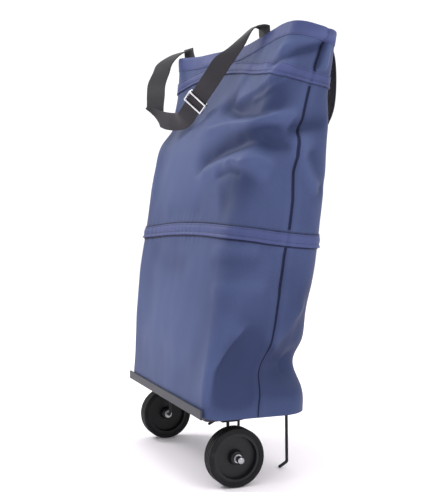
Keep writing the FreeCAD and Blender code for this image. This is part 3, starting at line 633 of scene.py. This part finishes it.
def store_relief(piece, share, height):
    """Keep how far the cloth is tucked or raised, so that its colour can follow: painted shade in tucked creases, and
    wear with painted highlight on raised folds.
    """
    attribute = piece.data.attributes.new("crease_shade_and_fold_wear", "FLOAT", "POINT")
    value = from_grid(relief[..., None], share, height)[..., 0]
    attribute.data.foreach_set("value", np.clip(value / 0.006, -1, 1).astype(np.float32))


def shade_smooth(piece, angle=180.0):
    deselect()
    piece.select_set(True)
    bpy.context.view_layer.objects.active = piece
    if angle >= 180:
        bpy.ops.object.shade_smooth()
    else:
        bpy.ops.object.shade_smooth_by_angle(angle=math.radians(angle))


def dress(piece, finish):
    """Give a new piece its finish."""
    piece.data.materials.clear()
    piece.data.materials.append(finish.material)


def woven_cloth(name, dark, light, roughness):
    """Plain-woven coated polyester, with slubs, raised folds lighter as wear and painted highlight, and tucked creases
    darker as painted shade.
    """
    finish = Finish(name, Specular_IOR_Level=0.12, Sheen_Weight=0.02, Sheen_Roughness=0.5)
    spread = finish.start.node("ShaderNodeUVMap", {"uv_map": "spread"}, {})
    across = finish.start.node("ShaderNodeSeparateXYZ", {}, {"Vector": spread}, 0)
    along = finish.start.node("ShaderNodeSeparateXYZ", {}, {"Vector": spread}, 1)
    # Painted shade and highlight: the stored fold depth darkens tucked creases and lightens raised folds, the raised
    # folds partly as wear.
    crease_shade_and_fold_wear = finish.start.node("ShaderNodeAttribute", {"attribute_name": "crease_shade_and_fold_wear"}, {}, "Fac")
    weave = across.wave(0.0011) * along.wave(0.0011) + (1 - across.wave(0.0011)) * (1 - along.wave(0.0011))
    slubs = finish.speckle(900.0, 3.0, finish.stretched(1.0, 1.0, 0.3))
    cross_slubs = finish.speckle(900.0, 3.0, finish.stretched(0.3, 0.3, 1.0))
    patches = finish.speckle(9.0, 3.0)
    threads = weave * 0.25 + slubs * 0.45 + cross_slubs * 0.3
    shade = threads * 0.2 + patches * 0.25 + (crease_shade_and_fold_wear * 0.5 + 0.5) * 0.55
    finish.feed("Base Color", shade.step(0.28, 0.72).mix(dark, light))
    finish.feed("Roughness", threads * 0.12 + patches * 0.1 + (roughness - 0.1))
    finish.raise_by(weave * 0.7 + slubs * 0.15 + cross_slubs * 0.15, 0.00008, 0.25)
    return finish


navy_cloth = woven_cloth("navy_cloth", (0.028, 0.040, 0.100, 1), (0.062, 0.084, 0.186, 1), 0.56)


def cloth_sleeve(name, low, high, rows):
    """A storey of the bag: its sleeve between two lines round it, given its thickness."""
    sleeve, share, row = drawn_sleeve(name, SLEEVE_COLUMNS, rows)
    part = row / (rows - 1)
    height = low(share) + (high(share) - low(share)) * part
    move_vertices(sleeve, on_bag(share, height, np.zeros(len(share))))
    face_outwards(sleeve, (0, axle.y + 0.05, float(height.mean())))
    spread_map(sleeve, share * float(np.interp(height.mean(), grid_heights, girth)), height)
    store_relief(sleeve, share, height)
    apply_modifier(sleeve, "SOLIDIFY", thickness=CLOTH, offset=-1.0)
    shade_smooth(sleeve, 60.0)
    dress(sleeve, navy_cloth)
    return sleeve


BOTTOM_HEIGHT = 0.0893
HANGS_TO = 0.0842
BAND_TALL = 0.0150
bottom_line = BOTTOM_HEIGHT + (HANGS_TO - BOTTOM_HEIGHT) * np.clip(
    (0.5 - np.abs(grid_shares - 0.5) - 0.168) / 0.03, 0, 1)
ZIP_TALL = 0.0030
lower_sleeve = cloth_sleeve(
    "bag_lower_cloth", lambda share: line_height(bottom_line, share),
    lambda share: line_height(middle_line, share) + BAND_TALL + 0.0004, 74)
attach(lower_sleeve, "base")
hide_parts("lower_front_panel", "lower_back_panel")


# ------------------------------------------------------------------ Cloth under the board
# The bottom of the bag is a single piece of the same cloth, cut to the outline with rounded
# corners, sewn to the sleeve all round and clamped between the tray and the board.
bottom, share, row = drawn_sleeve("bag_bottom_cloth", SLEEVE_COLUMNS, 6)
inwards = 1 - row / 5 * 0.97
edge = on_bag(share, np.full(len(share), BOTTOM_HEIGHT + 0.0002), np.full(len(share), -0.0004))
centre = np.array([0.0, axle.y + 0.0265, BOTTOM_HEIGHT + 0.0002])
places = centre + (edge - centre) * inwards[:, None]
places[:, 2] = BOTTOM_HEIGHT + 0.0002
move_vertices(bottom, places)
bpy.ops.object.mode_set(mode="OBJECT")
for edge_line in bottom.data.edges:
    edge_line.select = all(row[v] == 5 for v in edge_line.vertices)
bpy.ops.object.mode_set(mode="EDIT")
bpy.ops.mesh.select_mode(type="EDGE")
bpy.ops.mesh.edge_face_add()
bpy.ops.object.mode_set(mode="OBJECT")
face_outwards(bottom)
if bottom.data.polygons[0].normal.z > 0:
    bottom.data.flip_normals()
spread_map(bottom, places[:, 0], places[:, 1])
store_relief(bottom, share, np.full(len(share), BOTTOM_HEIGHT))
apply_modifier(bottom, "SOLIDIFY", thickness=CLOTH, offset=-1.0)
shade_smooth(bottom, 40.0)
dress(bottom, navy_cloth)
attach(bottom, "base")
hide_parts("bottom_cloth")


# ------------------------------------------------------------------ Cloth of the middle storey
# The middle storey is the part that tucks away inside when the bag is folded down to the small
# size: a second sleeve between the two zips, joined to the storeys above and below it.
middle_sleeve = cloth_sleeve(
    "bag_middle_cloth", lambda share: line_height(middle_line, share) + BAND_TALL + 0.0006,
    lambda share: line_height(upper_line, share) + 0.0020, 82)
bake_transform(middle_sleeve)
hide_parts("middle_front_panel", "middle_back_panel")


# ------------------------------------------------------------------ Collar
# The top storey is a short collar of the same cloth, which holds the handles and ends in the rim.
collar_sleeve = cloth_sleeve(
    "bag_collar_cloth", lambda share: line_height(upper_line, share) + 0.0024,
    lambda share: line_height(rim_line, share) - 0.0004, 34)
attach(collar_sleeve, "bag_top")
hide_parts("collar_front_panel", "collar_back_panel")


# ------------------------------------------------------------------ Zip bands and rim hem
# Each zip hides under a flap: a strip of the cloth folded double, sewn on along its top with two
# rows of stitches, its lower edge free. The rim is bound with a strip folded over the raw edge.
band_cloth = woven_cloth("band_cloth", (0.034, 0.044, 0.118, 1), (0.070, 0.087, 0.208, 1), 0.52)


# The darkest cloth: the dark line of the side seams, and a painted shadow strip under the middle flap's free edge.
seam_and_shadow_cloth = woven_cloth("seam_and_shadow_cloth", (0.008, 0.011, 0.034, 1), (0.018, 0.024, 0.066, 1), 0.55)


def sewn_strip(name, line, profile, finish, body, node=None):
    """A strip sewn round the bag, its cross-section given as (rise above a line, outset)."""
    strip, share, row = drawn_sleeve(name, SLEEVE_COLUMNS, len(profile), closed=True)
    profile = np.array(profile)
    rise = profile[row, 0]
    outset = profile[row, 1]
    height = line_height(line, share) + rise
    around = share * float(girth.mean())
    lift = 0.5 + 0.5 * np.sin(around * 58.0 + 1.3 * np.sin(around * 23.0))
    outset = outset + np.where(outset > 0.0012, (outset - 0.0012) * (lift - 0.4) * 0.55, 0)
    move_vertices(strip, on_bag(share, height, outset))
    face_outwards(strip)
    spread_map(strip, around, np.cumsum(np.append(0, np.hypot(*np.diff(profile, axis=0).T)))[row])
    store_relief(strip, share, height)
    shade_smooth(strip)
    dress(strip, finish)
    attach(strip, body)
    if node is not None:
        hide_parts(node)
    return strip


FLAP = [
    (0.0144, 0.0002), (0.0150, 0.0004), (0.0152, 0.0010), (0.0146, 0.0016), (0.0134, 0.0014), (0.0122, 0.0017),
    (0.0104, 0.0022), (0.0086, 0.0023), (0.0066, 0.0022), (0.0050, 0.0020), (0.0040, 0.0017), (0.0030, 0.0020),
    (0.0016, 0.0026), (0.0004, 0.0030), (-0.0004, 0.0027), (-0.0005, 0.0021), (0.0002, 0.0017), (0.0018, 0.0014),
    (0.0040, 0.0008), (0.0070, 0.0006), (0.0100, 0.0003), (0.0124, 0.0001),
]
# Cross-section of a dark strip just under the middle flap's free lower edge: painted shadow.
FLAP_SHADOW_STRIP = [(0.0030, 0.0003), (0.0020, 0.0009), (-0.0010, 0.0009), (-0.0022, 0.0006), (-0.0026, 0.0001)]
UPPER_FLAP = [(rise, outset * 0.62) for rise, outset in FLAP]
middle_flap = sewn_strip("middle_zip_flap", middle_line, FLAP, band_cloth, "base", "middle_zip_band")
upper_flap = sewn_strip("upper_zip_flap", upper_line, UPPER_FLAP, band_cloth, "bag_top", "upper_zip_band")
# Painted shadow: a strip of the darkest cloth under the middle flap's lower edge.
middle_flap_shadow = sewn_strip("middle_flap_shadow_strip", middle_line, FLAP_SHADOW_STRIP, seam_and_shadow_cloth, "base")
BINDING = [
    (-0.0180, 0.0001), (-0.0183, 0.0004), (-0.0176, 0.0006), (-0.0160, 0.0005), (-0.0140, 0.0007),
    (-0.0100, 0.0009), (-0.0060, 0.0009), (-0.0030, 0.0010), (-0.0010, 0.0009), (0.0004, 0.0004), (0.0008, -0.0006),
    (0.0004, -0.0018), (-0.0010, -0.0025), (-0.0030, -0.0026), (-0.0080, -0.0024), (-0.0130, -0.0026),
    (-0.0170, -0.0023), (-0.0186, -0.0020), (-0.0186, -0.0013), (-0.0150, -0.0014), (-0.0060, -0.0014),
    (-0.0006, -0.0014), (-0.0001, -0.0006), (-0.0006, 0.0001), (-0.0060, 0.0001),
]
rim_binding = sewn_strip("rim_binding", rim_line, BINDING, band_cloth, "bag_top", "rim_hem")


# ------------------------------------------------------------------ Zip coils
# Two halves of a nylon coil zip, dyed navy: one along the top of the lower storey and one along
# the bottom of the collar. Zipped together they hold the folded bag at its small size.
def spaced_shares(line, rise, pitch):
    """Shares spaced evenly along a line round the bag."""
    shares = np.linspace(0, 1, 2881)
    places = on_bag(shares, line_height(line, shares) + rise, np.zeros(len(shares)))
    lengths = np.concatenate([[0.0], np.cumsum(np.linalg.norm(np.diff(places, axis=0), axis=1))])
    count = int(round(lengths[-1] / pitch))
    return np.interp(np.arange(count) / count * lengths[-1], lengths, shares)


def row_of(name, bead, places, along, out, finish):
    """One piece made of many copies of a small one, each set on its place and turned to it."""
    bead_places = vertex_places(bead)
    faces = [list(face.vertices) for face in bead.data.polygons]
    along = along / np.linalg.norm(along, axis=1, keepdims=True)
    up = np.cross(out, along)
    up = up / np.linalg.norm(up, axis=1, keepdims=True)
    out = np.cross(along, up)
    frames = np.stack([along, up, out], axis=1)
    copies = np.einsum("bk,nkj->nbj", bead_places, frames) + places[:, None, :]
    count = len(bead_places)
    all_faces = [[v + i * count for v in face] for i in range(len(places)) for face in faces]
    mesh = bpy.data.meshes.new(name)
    mesh.from_pydata(copies.reshape(-1, 3).tolist(), [], all_faces)
    piece = bpy.data.objects.new(name, mesh)
    bpy.context.scene.collection.objects.link(piece)
    shade_smooth(piece)
    dress(piece, finish)
    return piece


def rounded_bead(long, tall, thick):
    """One tooth or stitch: a low round bar, thicker in the middle."""
    deselect()
    bpy.ops.mesh.primitive_uv_sphere_add(segments=6, ring_count=5, radius=0.5, rotation=(0, math.pi / 2, 0))
    bead = bpy.context.object
    bpy.ops.object.transform_apply(location=True, rotation=True, scale=True)
    places = vertex_places(bead) * np.array([long, tall, thick])
    places[:, 2] = np.maximum(places[:, 2], -0.3 * thick)
    move_vertices(bead, places)
    return bead


zip_nylon = Finish("zip_nylon", Specular_IOR_Level=0.5)
coil_shade = zip_nylon.speckle(900.0, 2.0)
zip_nylon.feed("Base Color", coil_shade.mix((0.014, 0.020, 0.056, 1), (0.034, 0.046, 0.120, 1)))
zip_nylon.feed("Roughness", coil_shade * 0.2 + 0.32)
zip_nylon.raise_by(coil_shade, 0.00005, 0.4)


def zip_coil(name, line, rise, body, node):
    bead = rounded_bead(0.00125, 0.0022, 0.0012)
    shares = spaced_shares(line, rise, 0.0018)
    height = line_height(line, shares) + rise
    outset = np.full(len(shares), 0.0006)
    places = on_bag(shares, height, outset)
    along = np.roll(places, -1, axis=0) - np.roll(places, 1, axis=0)
    out = from_grid(out_direction, shares, height)
    coil = row_of(name, bead, places, along, out, zip_nylon)
    bpy.data.objects.remove(bead)
    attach(coil, body)
    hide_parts(node)
    return coil


lower_coil = zip_coil("lower_zip_coil", middle_line, BAND_TALL + 0.0012, "base", "lower_zip_teeth")
upper_coil = zip_coil("upper_zip_coil", upper_line, -0.0006, "bag_top", "upper_zip_teeth")


# ------------------------------------------------------------------ Rows of stitches round the bag
# Bonded polyester thread, a shade darker than the cloth, in lock stitches of 3 mm: two rows hold
# each zip flap, and one row holds the rim's binding.
thread = Finish("navy_thread", Specular_IOR_Level=0.5)
twist = thread.speckle(2400.0, 2.0)
thread.feed("Base Color", twist.mix((0.018, 0.025, 0.072, 1), (0.040, 0.052, 0.140, 1)))
thread.feed("Roughness", twist * 0.2 + 0.45)
thread.raise_by(twist, 0.00008, 0.5)
STITCH_PITCH = 0.0034


def stitch_row(name, line, rise, outset, body):
    bead = rounded_bead(0.0026, 0.0007, 0.0007)
    shares = spaced_shares(line, rise, STITCH_PITCH)
    height = line_height(line, shares) + rise
    around = shares * float(girth.mean())
    lift = 0.5 + 0.5 * np.sin(around * 58.0 + 1.3 * np.sin(around * 23.0))
    lifted = outset + max(outset - 0.0012, 0) * (lift - 0.4) * 0.55
    places = on_bag(shares, height, lifted)
    along = np.roll(places, -1, axis=0) - np.roll(places, 1, axis=0)
    out = from_grid(out_direction, shares, height)
    stitches = row_of(name, bead, places, along, out, thread)
    bpy.data.objects.remove(bead)
    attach(stitches, body)
    return stitches


middle_stitches = [
    stitch_row("middle_flap_stitches_" + word, middle_line, rise, outset, "base")
    for word, rise, outset in (("high", 0.0134, 0.0015), ("low", 0.0040, 0.0018))
]
upper_stitches = [
    stitch_row("upper_flap_stitches_" + word, upper_line, rise, outset, "bag_top")
    for word, rise, outset in (("high", 0.0134, 0.0015), ("low", 0.0040, 0.0018))
]
rim_stitches = stitch_row("rim_stitches", rim_line, -0.0160, 0.0006, "bag_top")


# ------------------------------------------------------------------ Side seams
# At each side the front and back panels are joined by a folded seam, which stands as two narrow
# welts with a dark line between them. Each storey has its own length of it.
WELTS = [
    (-0.0026, -0.0004), (-0.0021, 0.0004), (-0.0014, 0.0009), (-0.0007, 0.0006), (0.0, -0.0001),
    (0.0007, 0.0006), (0.0014, 0.0009), (0.0021, 0.0004), (0.0026, -0.0004),
]


def side_seam(name, seam, low, high, length):
    """A strip of grid laid up the side along a seam, its cross-section the two welts."""
    rows = max(int(length / 0.0022), 8)
    deselect()
    bpy.ops.mesh.primitive_grid_add(x_subdivisions=len(WELTS) - 1, y_subdivisions=rows - 1, size=2.0)
    strip = bpy.context.object
    strip.name = name
    places = vertex_places(strip)
    column = np.round((places[:, 0] + 1) / 2 * (len(WELTS) - 1)).astype(int)
    part = (places[:, 1] + 1) / 2
    guess = seam_share(seam, (low(np.array([0.25])) + high(np.array([0.25])))[0] / 2)
    bottom = low(np.array([guess]))[0]
    top = high(np.array([guess]))[0]
    height = bottom + (top - bottom) * part
    welts = np.array(WELTS)
    narrowing = 0.35 + 0.5 * np.clip((height - 0.16) / 0.09, 0, 1)
    share = seam_share(seam, height) + welts[column, 0] * narrowing / np.interp(height, grid_heights, girth)
    move_vertices(strip, on_bag(share, height, welts[column, 1] * narrowing + 0.0003))
    face_outwards(strip)
    middle = Vector((0, axle.y + 0.05, float(height.mean())))
    face = strip.data.polygons[len(strip.data.polygons) // 2]
    if face.normal.dot(face.center - middle) < 0:
        strip.data.flip_normals()
    spread_map(strip, welts[column, 0], height)
    store_relief(strip, share, height)
    apply_modifier(strip, "SOLIDIFY", thickness=0.0007, offset=-1.0)
    shade_smooth(strip, 70.0)
    dress(strip, seam_and_shadow_cloth)
    return strip


for side, seam in (("right", right_seam), ("left", left_seam)):
    lower = side_seam(
        "lower_side_seam_" + side, seam, lambda share: line_height(bottom_line, share) + 0.0006,
        lambda share: line_height(middle_line, share) + 0.004, 0.2)
    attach(lower, "base")
    middle = side_seam(
        "middle_side_seam_" + side, seam, lambda share: line_height(middle_line, share) + BAND_TALL + ZIP_TALL + 0.001,
        lambda share: line_height(upper_line, share) - ZIP_TALL - 0.001, 0.19)
    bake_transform(middle)
    collar = side_seam(
        "collar_side_seam_" + side, seam, lambda share: line_height(upper_line, share) + BAND_TALL,
        lambda share: line_height(rim_line, share) - 0.0185, 0.06)
    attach(collar, "bag_top")


# ------------------------------------------------------------------ Front handle
# A strap of black 25 mm polypropylene webbing, sewn inside the front of the rim. It has slumped
# over the front, and turns back up at the left through a folded corner.
WEB_WIDE = 0.025
WEB_THICK = 0.0015
webbing = Finish("black_webbing", Specular_IOR_Level=0.25, Sheen_Weight=0.08, Sheen_Roughness=0.4)
web_spread = webbing.start.node("ShaderNodeUVMap", {"uv_map": "spread"}, {})
web_across = webbing.start.node("ShaderNodeSeparateXYZ", {}, {"Vector": web_spread}, 0)
web_along = webbing.start.node("ShaderNodeSeparateXYZ", {}, {"Vector": web_spread}, 1)
chevron = web_across.math("PINGPONG", web_across, 0.00315)
ribs = (web_along + chevron).wave(0.0021)
yarn = web_across.wave(0.00105)
web_fuzz = webbing.speckle(1300.0, 3.0)
web_shade = ribs * 0.45 + yarn * 0.2 + web_fuzz * 0.35
webbing.feed("Base Color", web_shade.step(0.25, 0.75).mix((0.008, 0.0075, 0.010, 1), (0.044, 0.041, 0.047, 1)))
webbing.feed("Roughness", web_fuzz * 0.15 + 0.5)
webbing.raise_by(ribs * 0.6 + yarn * 0.25 + web_fuzz * 0.15, 0.00022, 0.7)
RIM_WAY = (0.985, 0.174, 0.0)
SLIDE_WAY = (0.3, 0.62, -0.72)
# place (x, distance behind the axle, height), direction of the width, width factor
FRONT_ROUTE = [
    ((0.0700, 0.0685, 0.575), RIM_WAY, 1), ((0.0718, 0.0582, 0.575), RIM_WAY, 1),
    ((0.064, 0.047, 0.567), (0.9, 0.3, 0.3), 1), ((0.052, 0.036, 0.550), (0.7, 0.6, 0.1), 1),
    ((0.040, 0.0215, 0.531), (0.5, 0.7, -0.4), 1), ((0.028, 0.0107, 0.510), SLIDE_WAY, 1),
    ((0.0073, 0.0054, 0.494), SLIDE_WAY, 1), ((-0.0133, 0.0, 0.478), SLIDE_WAY, 1),
    ((-0.034, -0.0053, 0.462), SLIDE_WAY, 1), ((-0.056, -0.009, 0.460), (0.05, 0.2, -0.98), 1),
    ((-0.074, -0.0165, 0.462), (0, 0, -1), 1), ((-0.088, -0.0225, 0.466), (0.12, 0.08, -1), 1),
    ((-0.097, -0.0262, 0.4695), (0.35, 0.35, -0.85), 1.2), ((-0.1005, -0.0275, 0.4712), (0.36, 0.62, -0.70), 1.38),
    ((-0.1015, -0.0272, 0.4745), (0.42, 0.72, -0.50), 1.2), ((-0.1040, -0.0255, 0.484), (0.48, 0.86, -0.12), 1),
    ((-0.112, -0.022, 0.502), (0.45, 0.89, 0.0), 1.05), ((-0.123, -0.017, 0.520), (0.45, 0.89, 0), 1.05),
    ((-0.130, -0.008, 0.538), (0.5, 0.86, 0), 1), ((-0.136, 0.000, 0.553), (0.7, 0.7, 0), 1),
    ((-0.132, 0.015, 0.566), (0.9, 0.4, 0), 0.9), ((-0.1225, 0.030, 0.572), RIM_WAY, 0.9),
]


def smooth_through(values, places):
    """A smooth run through rows of values, read at places counted in rows."""
    first = np.clip(places.astype(int), 0, len(values) - 2)
    part = (places - first)[:, None]
    before = values[np.maximum(first - 1, 0)]
    start = values[first]
    end = values[first + 1]
    after = values[np.minimum(first + 2, len(values) - 1)]
    return 0.5 * (2 * start + (end - before) * part + (2 * before - 5 * start + 4 * end - after) * part ** 2
                  + (3 * start - before - 3 * end + after) * part ** 3)


def strap(name, route, body, node=None, columns=10, spacing=0.0016):
    """Flat webbing laid along a route: a long grid bent to it, given its thickness and round edges."""
    centres = np.array([(x, y + axle.y, z) for (x, y, z), _, _ in route])
    ways = np.array([way for _, way, _ in route], float)
    factors = np.array([[factor] for _, _, factor in route], float)
    length = np.linalg.norm(np.diff(centres, axis=0), axis=1).sum()
    rows = int(length / spacing)
    fine = np.linspace(0, len(route) - 1, 60 * len(route))
    fine_places = smooth_through(centres, fine)
    lengths = np.concatenate([[0.0], np.cumsum(np.linalg.norm(np.diff(fine_places, axis=0), axis=1))])
    at = np.interp(np.linspace(0, lengths[-1], rows + 1), lengths, fine)
    centre = smooth_through(centres, at)
    tangent = np.gradient(centre, axis=0)
    tangent = tangent / np.linalg.norm(tangent, axis=1, keepdims=True)
    way = smooth_through(ways, at)
    way = way / np.linalg.norm(way, axis=1, keepdims=True)
    factor = smooth_through(factors, at)
    face = np.cross(tangent, way)
    deselect()
    bpy.ops.mesh.primitive_grid_add(x_subdivisions=columns, y_subdivisions=rows, size=2.0)
    band = bpy.context.object
    band.name = name
    flat = vertex_places(band)
    row = np.round((flat[:, 1] + 1) / 2 * rows).astype(int)
    across = flat[:, 0]
    crown = (1 - across ** 2) * 0.00025
    spread_across = across * WEB_WIDE / 2
    move_vertices(band, centre[row] + way[row] * (spread_across[:, None] * factor[row]) + face[row] * crown[:, None])
    spread_map(band, spread_across, row * lengths[-1] / rows)
    apply_modifier(band, "SOLIDIFY", thickness=WEB_THICK, offset=0.0)
    apply_modifier(band, "BEVEL", width=0.0005, segments=3, limit_method="ANGLE", angle_limit=math.radians(60))
    face_outwards(band)
    shade_smooth(band, 50.0)
    dress(band, webbing)
    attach(band, body)
    if node is not None:
        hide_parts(node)
    return band


front_strap = strap("front_handle_strap", FRONT_ROUTE, "front_handle", "front_handle")


# ------------------------------------------------------------------ Back handle
# The second strap, the same webbing, sewn inside the back of the rim and hanging down behind.
BACK_ROUTE = [
    ((0.0700, 0.1390, 0.575), RIM_WAY, 1), ((0.0684, 0.1490, 0.571), RIM_WAY, 1),
    ((0.0700, 0.1630, 0.545), (1, 0.1, 0.1), 1), ((0.0700, 0.1680, 0.508), (1, 0, 0.2), 1),
    ((0.0630, 0.1685, 0.464), (0.9, 0, 0.5), 1), ((0.0380, 0.1685, 0.433), (0.5, 0, 0.9), 1),
    ((0.0000, 0.1680, 0.423), (0, 0, 1), 1), ((-0.0380, 0.1660, 0.433), (-0.5, 0, 0.9), 1),
    ((-0.0630, 0.1630, 0.464), (-0.9, 0, 0.5), 1), ((-0.0700, 0.1560, 0.508), (-1, 0, 0.2), 1),
    ((-0.0710, 0.1410, 0.545), (-1, -0.1, 0.1), 1), ((-0.0715, 0.1250, 0.571), (-0.985, -0.174, 0), 1),
    ((-0.0700, 0.1150, 0.575), (-0.985, -0.174, 0), 1),
]
back_strap = strap("back_handle_strap", BACK_ROUTE, "back_handle", "back_handle")


# ------------------------------------------------------------------ Sewn ends of the handles
# Each end of each strap runs down the inside of the collar and is sewn to it with a box of
# stitches crossed corner to corner.
TAB_BOTTOM = 0.529
TAB_TOP = 0.5752
BOX_LOW = 0.006
BOX_HIGH = 0.028
BOX_HALF = 0.0095


def handle_tab(name, x_top, y_top, share, back):
    """A strap end inside the collar: from its bottom edge up to the line where the handle leaves."""
    route = []
    steps = 7
    for step in range(steps):
        height = TAB_BOTTOM + (TAB_TOP - TAB_BOTTOM) * step / (steps - 1)
        held = min(height, 0.553)
        inside = on_bag(np.array([share]), np.array([held]), np.array([-0.0062]))[0]
        side = on_bag(np.array([share + 0.01]), np.array([held]), np.array([-0.0062]))[0] - inside
        ease = max(0.0, (height - 0.545) / (TAB_TOP - 0.545))
        ease = ease * ease * (3 - 2 * ease)
        x = inside[0] * (1 - ease) + x_top * ease
        y = (inside[1] - axle.y) * (1 - ease) + y_top * ease
        way = Vector(side).normalized()
        if back:
            way = -way
        route.append(((x, y, height), tuple(way.lerp(Vector(RIM_WAY), ease)), 1))
    return strap(name, route, "bag_top"), route


def box_stitches(name, route, inwards):
    """The box of stitches with its cross, on the side of a tab that faces into the bag."""
    centres = np.array([(x, y + axle.y, z) for (x, y, z), _, _ in route])
    ways = np.array([way for _, way, _ in route], float)
    corners = [(-BOX_HALF, BOX_LOW), (BOX_HALF, BOX_LOW), (BOX_HALF, BOX_HIGH), (-BOX_HALF, BOX_HIGH),
               (-BOX_HALF, BOX_LOW), (BOX_HALF, BOX_HIGH), (BOX_HALF, BOX_LOW), (-BOX_HALF, BOX_HIGH)]
    spots = []
    for start, end in zip(corners, corners[1:]):
        run = math.hypot(end[0] - start[0], end[1] - start[1])
        count = int(run / 0.003)
        for k in range(count):
            part = (k + 0.5) / count
            spots.append((start[0] + (end[0] - start[0]) * part, start[1] + (end[1] - start[1]) * part,
                          (end[0] - start[0]) / run, (end[1] - start[1]) / run))
    spots = np.array(spots)
    heights = TAB_BOTTOM + spots[:, 1]
    centre = np.stack([np.interp(heights, centres[:, 2], centres[:, k]) for k in range(3)], 1)
    way = np.stack([np.interp(heights, centres[:, 2], ways[:, k]) for k in range(3)], 1)
    way = way / np.linalg.norm(way, axis=1, keepdims=True)
    higher = np.stack([np.interp(heights + 0.002, centres[:, 2], centres[:, k]) for k in range(3)], 1)
    upward = (higher - centre) / np.linalg.norm(higher - centre, axis=1, keepdims=True)
    face = np.cross(way, upward)
    face = face * np.sign(np.sum(face * np.array(inwards), axis=1, keepdims=True))
    places = centre + way * spots[:, :1] + face * (WEB_THICK / 2 + 0.0002)
    bead = rounded_bead(0.0025, 0.0008, 0.0008)
    stitches = row_of(name, bead, places, way * spots[:, 2:3] + upward * spots[:, 3:4], face, thread)
    bpy.data.objects.remove(bead)
    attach(stitches, "bag_top")
    return stitches


girth_top = float(np.interp(0.55, grid_heights, girth))
for name, x_top, y_top, around, back in (
    ("front_tab_right", 0.0700, 0.0685, 0.070, False), ("front_tab_left", -0.1210, 0.0320, -0.117, False),
    ("back_tab_right", 0.0700, 0.1390, girth_top / 2 - 0.060, True),
    ("back_tab_left", -0.0700, 0.1150, -girth_top / 2 + 0.075, True),
):
    tab, route = handle_tab(name, x_top, y_top, around / girth_top, back)
    box = box_stitches(name + "_stitches", route, (0, -1, 0) if back else (0, 1, 0))
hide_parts("front_handle_tabs")
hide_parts("back_handle_tabs")


# ------------------------------------------------------------------ Strap slider
# A bent slide of chromed wire on the front handle, which takes up the length of the strap.
paint_node(chrome, "handle_slider")


# ------------------------------------------------------------------ Zip slider and pull
# A small die-cast slider parked at the left of the back, with a flat pull that hangs from it.
zip_metal = bare_metal("zip_metal", (0.42, 0.42, 0.44), 0.24, 0.12)
paint_node(zip_metal, "zip_slider", "zip_pull")


# ------------------------------------------------------------------ Floor, light and camera
# A pale studio floor, a large soft light above at the left, a weaker one at the right, and an
# even white surround.
deselect()
bpy.ops.mesh.primitive_plane_add(size=40.0, location=(0, 0, -0.0004))
floor = bpy.context.object
floor.name = "floor"
bpy.ops.object.transform_apply(location=True, rotation=True, scale=True)
floor_paint = Finish("floor_paint", Roughness=0.7, Specular_IOR_Level=0.1)
floor_paint.feed("Base Color", floor_paint.speckle(3.0, 2.0).mix((0.955, 0.915, 0.96, 1), (0.965, 0.925, 0.97, 1)))
floor.data.materials.append(floor_paint.material)


def soft_light(name, place, target, size, power, colour=(1, 1, 1)):
    lamp = bpy.data.lights.new(name, "AREA")
    lamp.shape = "SQUARE"
    lamp.size = size
    lamp.energy = power
    lamp.color = colour
    holder = bpy.data.objects.new(name, lamp)
    holder.location = place
    holder.rotation_mode = "QUATERNION"
    holder.rotation_quaternion = (Vector(target) - Vector(place)).to_track_quat("-Z", "Y")
    bpy.context.scene.collection.objects.link(holder)


soft_light("key_light", (-0.78, -0.80, 1.15), (0, 0, 0.42), 0.4, 7.5)
soft_light("fill_light", (2.2, 0.5, 1.4), (0, 0, 0.2), 1.2, 9.0)
soft_light("floor_light", (0.2, 0.3, 2.6), (0, 0, 0), 2.4, 26.0)
surround = bpy.data.worlds.new("white_surround")
surround.use_nodes = True
surround.node_tree.nodes["Background"].inputs["Color"].default_value = (1.0, 1.0, 1.0, 1)
surround.node_tree.nodes["Background"].inputs["Strength"].default_value = 1.1
bpy.context.scene.world = surround
bpy.context.scene.view_settings.view_transform = "Standard"

camera_data = bpy.data.cameras.new("camera")
camera_data.sensor_width = 36.0
camera_data.lens = 68.05
camera_data.shift_y = -0.0732
camera_data.clip_end = 50.0
camera = bpy.data.objects.new("camera", camera_data)
camera.location = (1.179, axle.y - 0.434, 0.336)
camera.rotation_mode = "QUATERNION"
camera.rotation_quaternion = Vector((-0.930, 0.368, 0.0)).to_track_quat("-Z", "Y")
bpy.context.scene.collection.objects.link(camera)
bpy.context.scene.camera = camera

deselect()
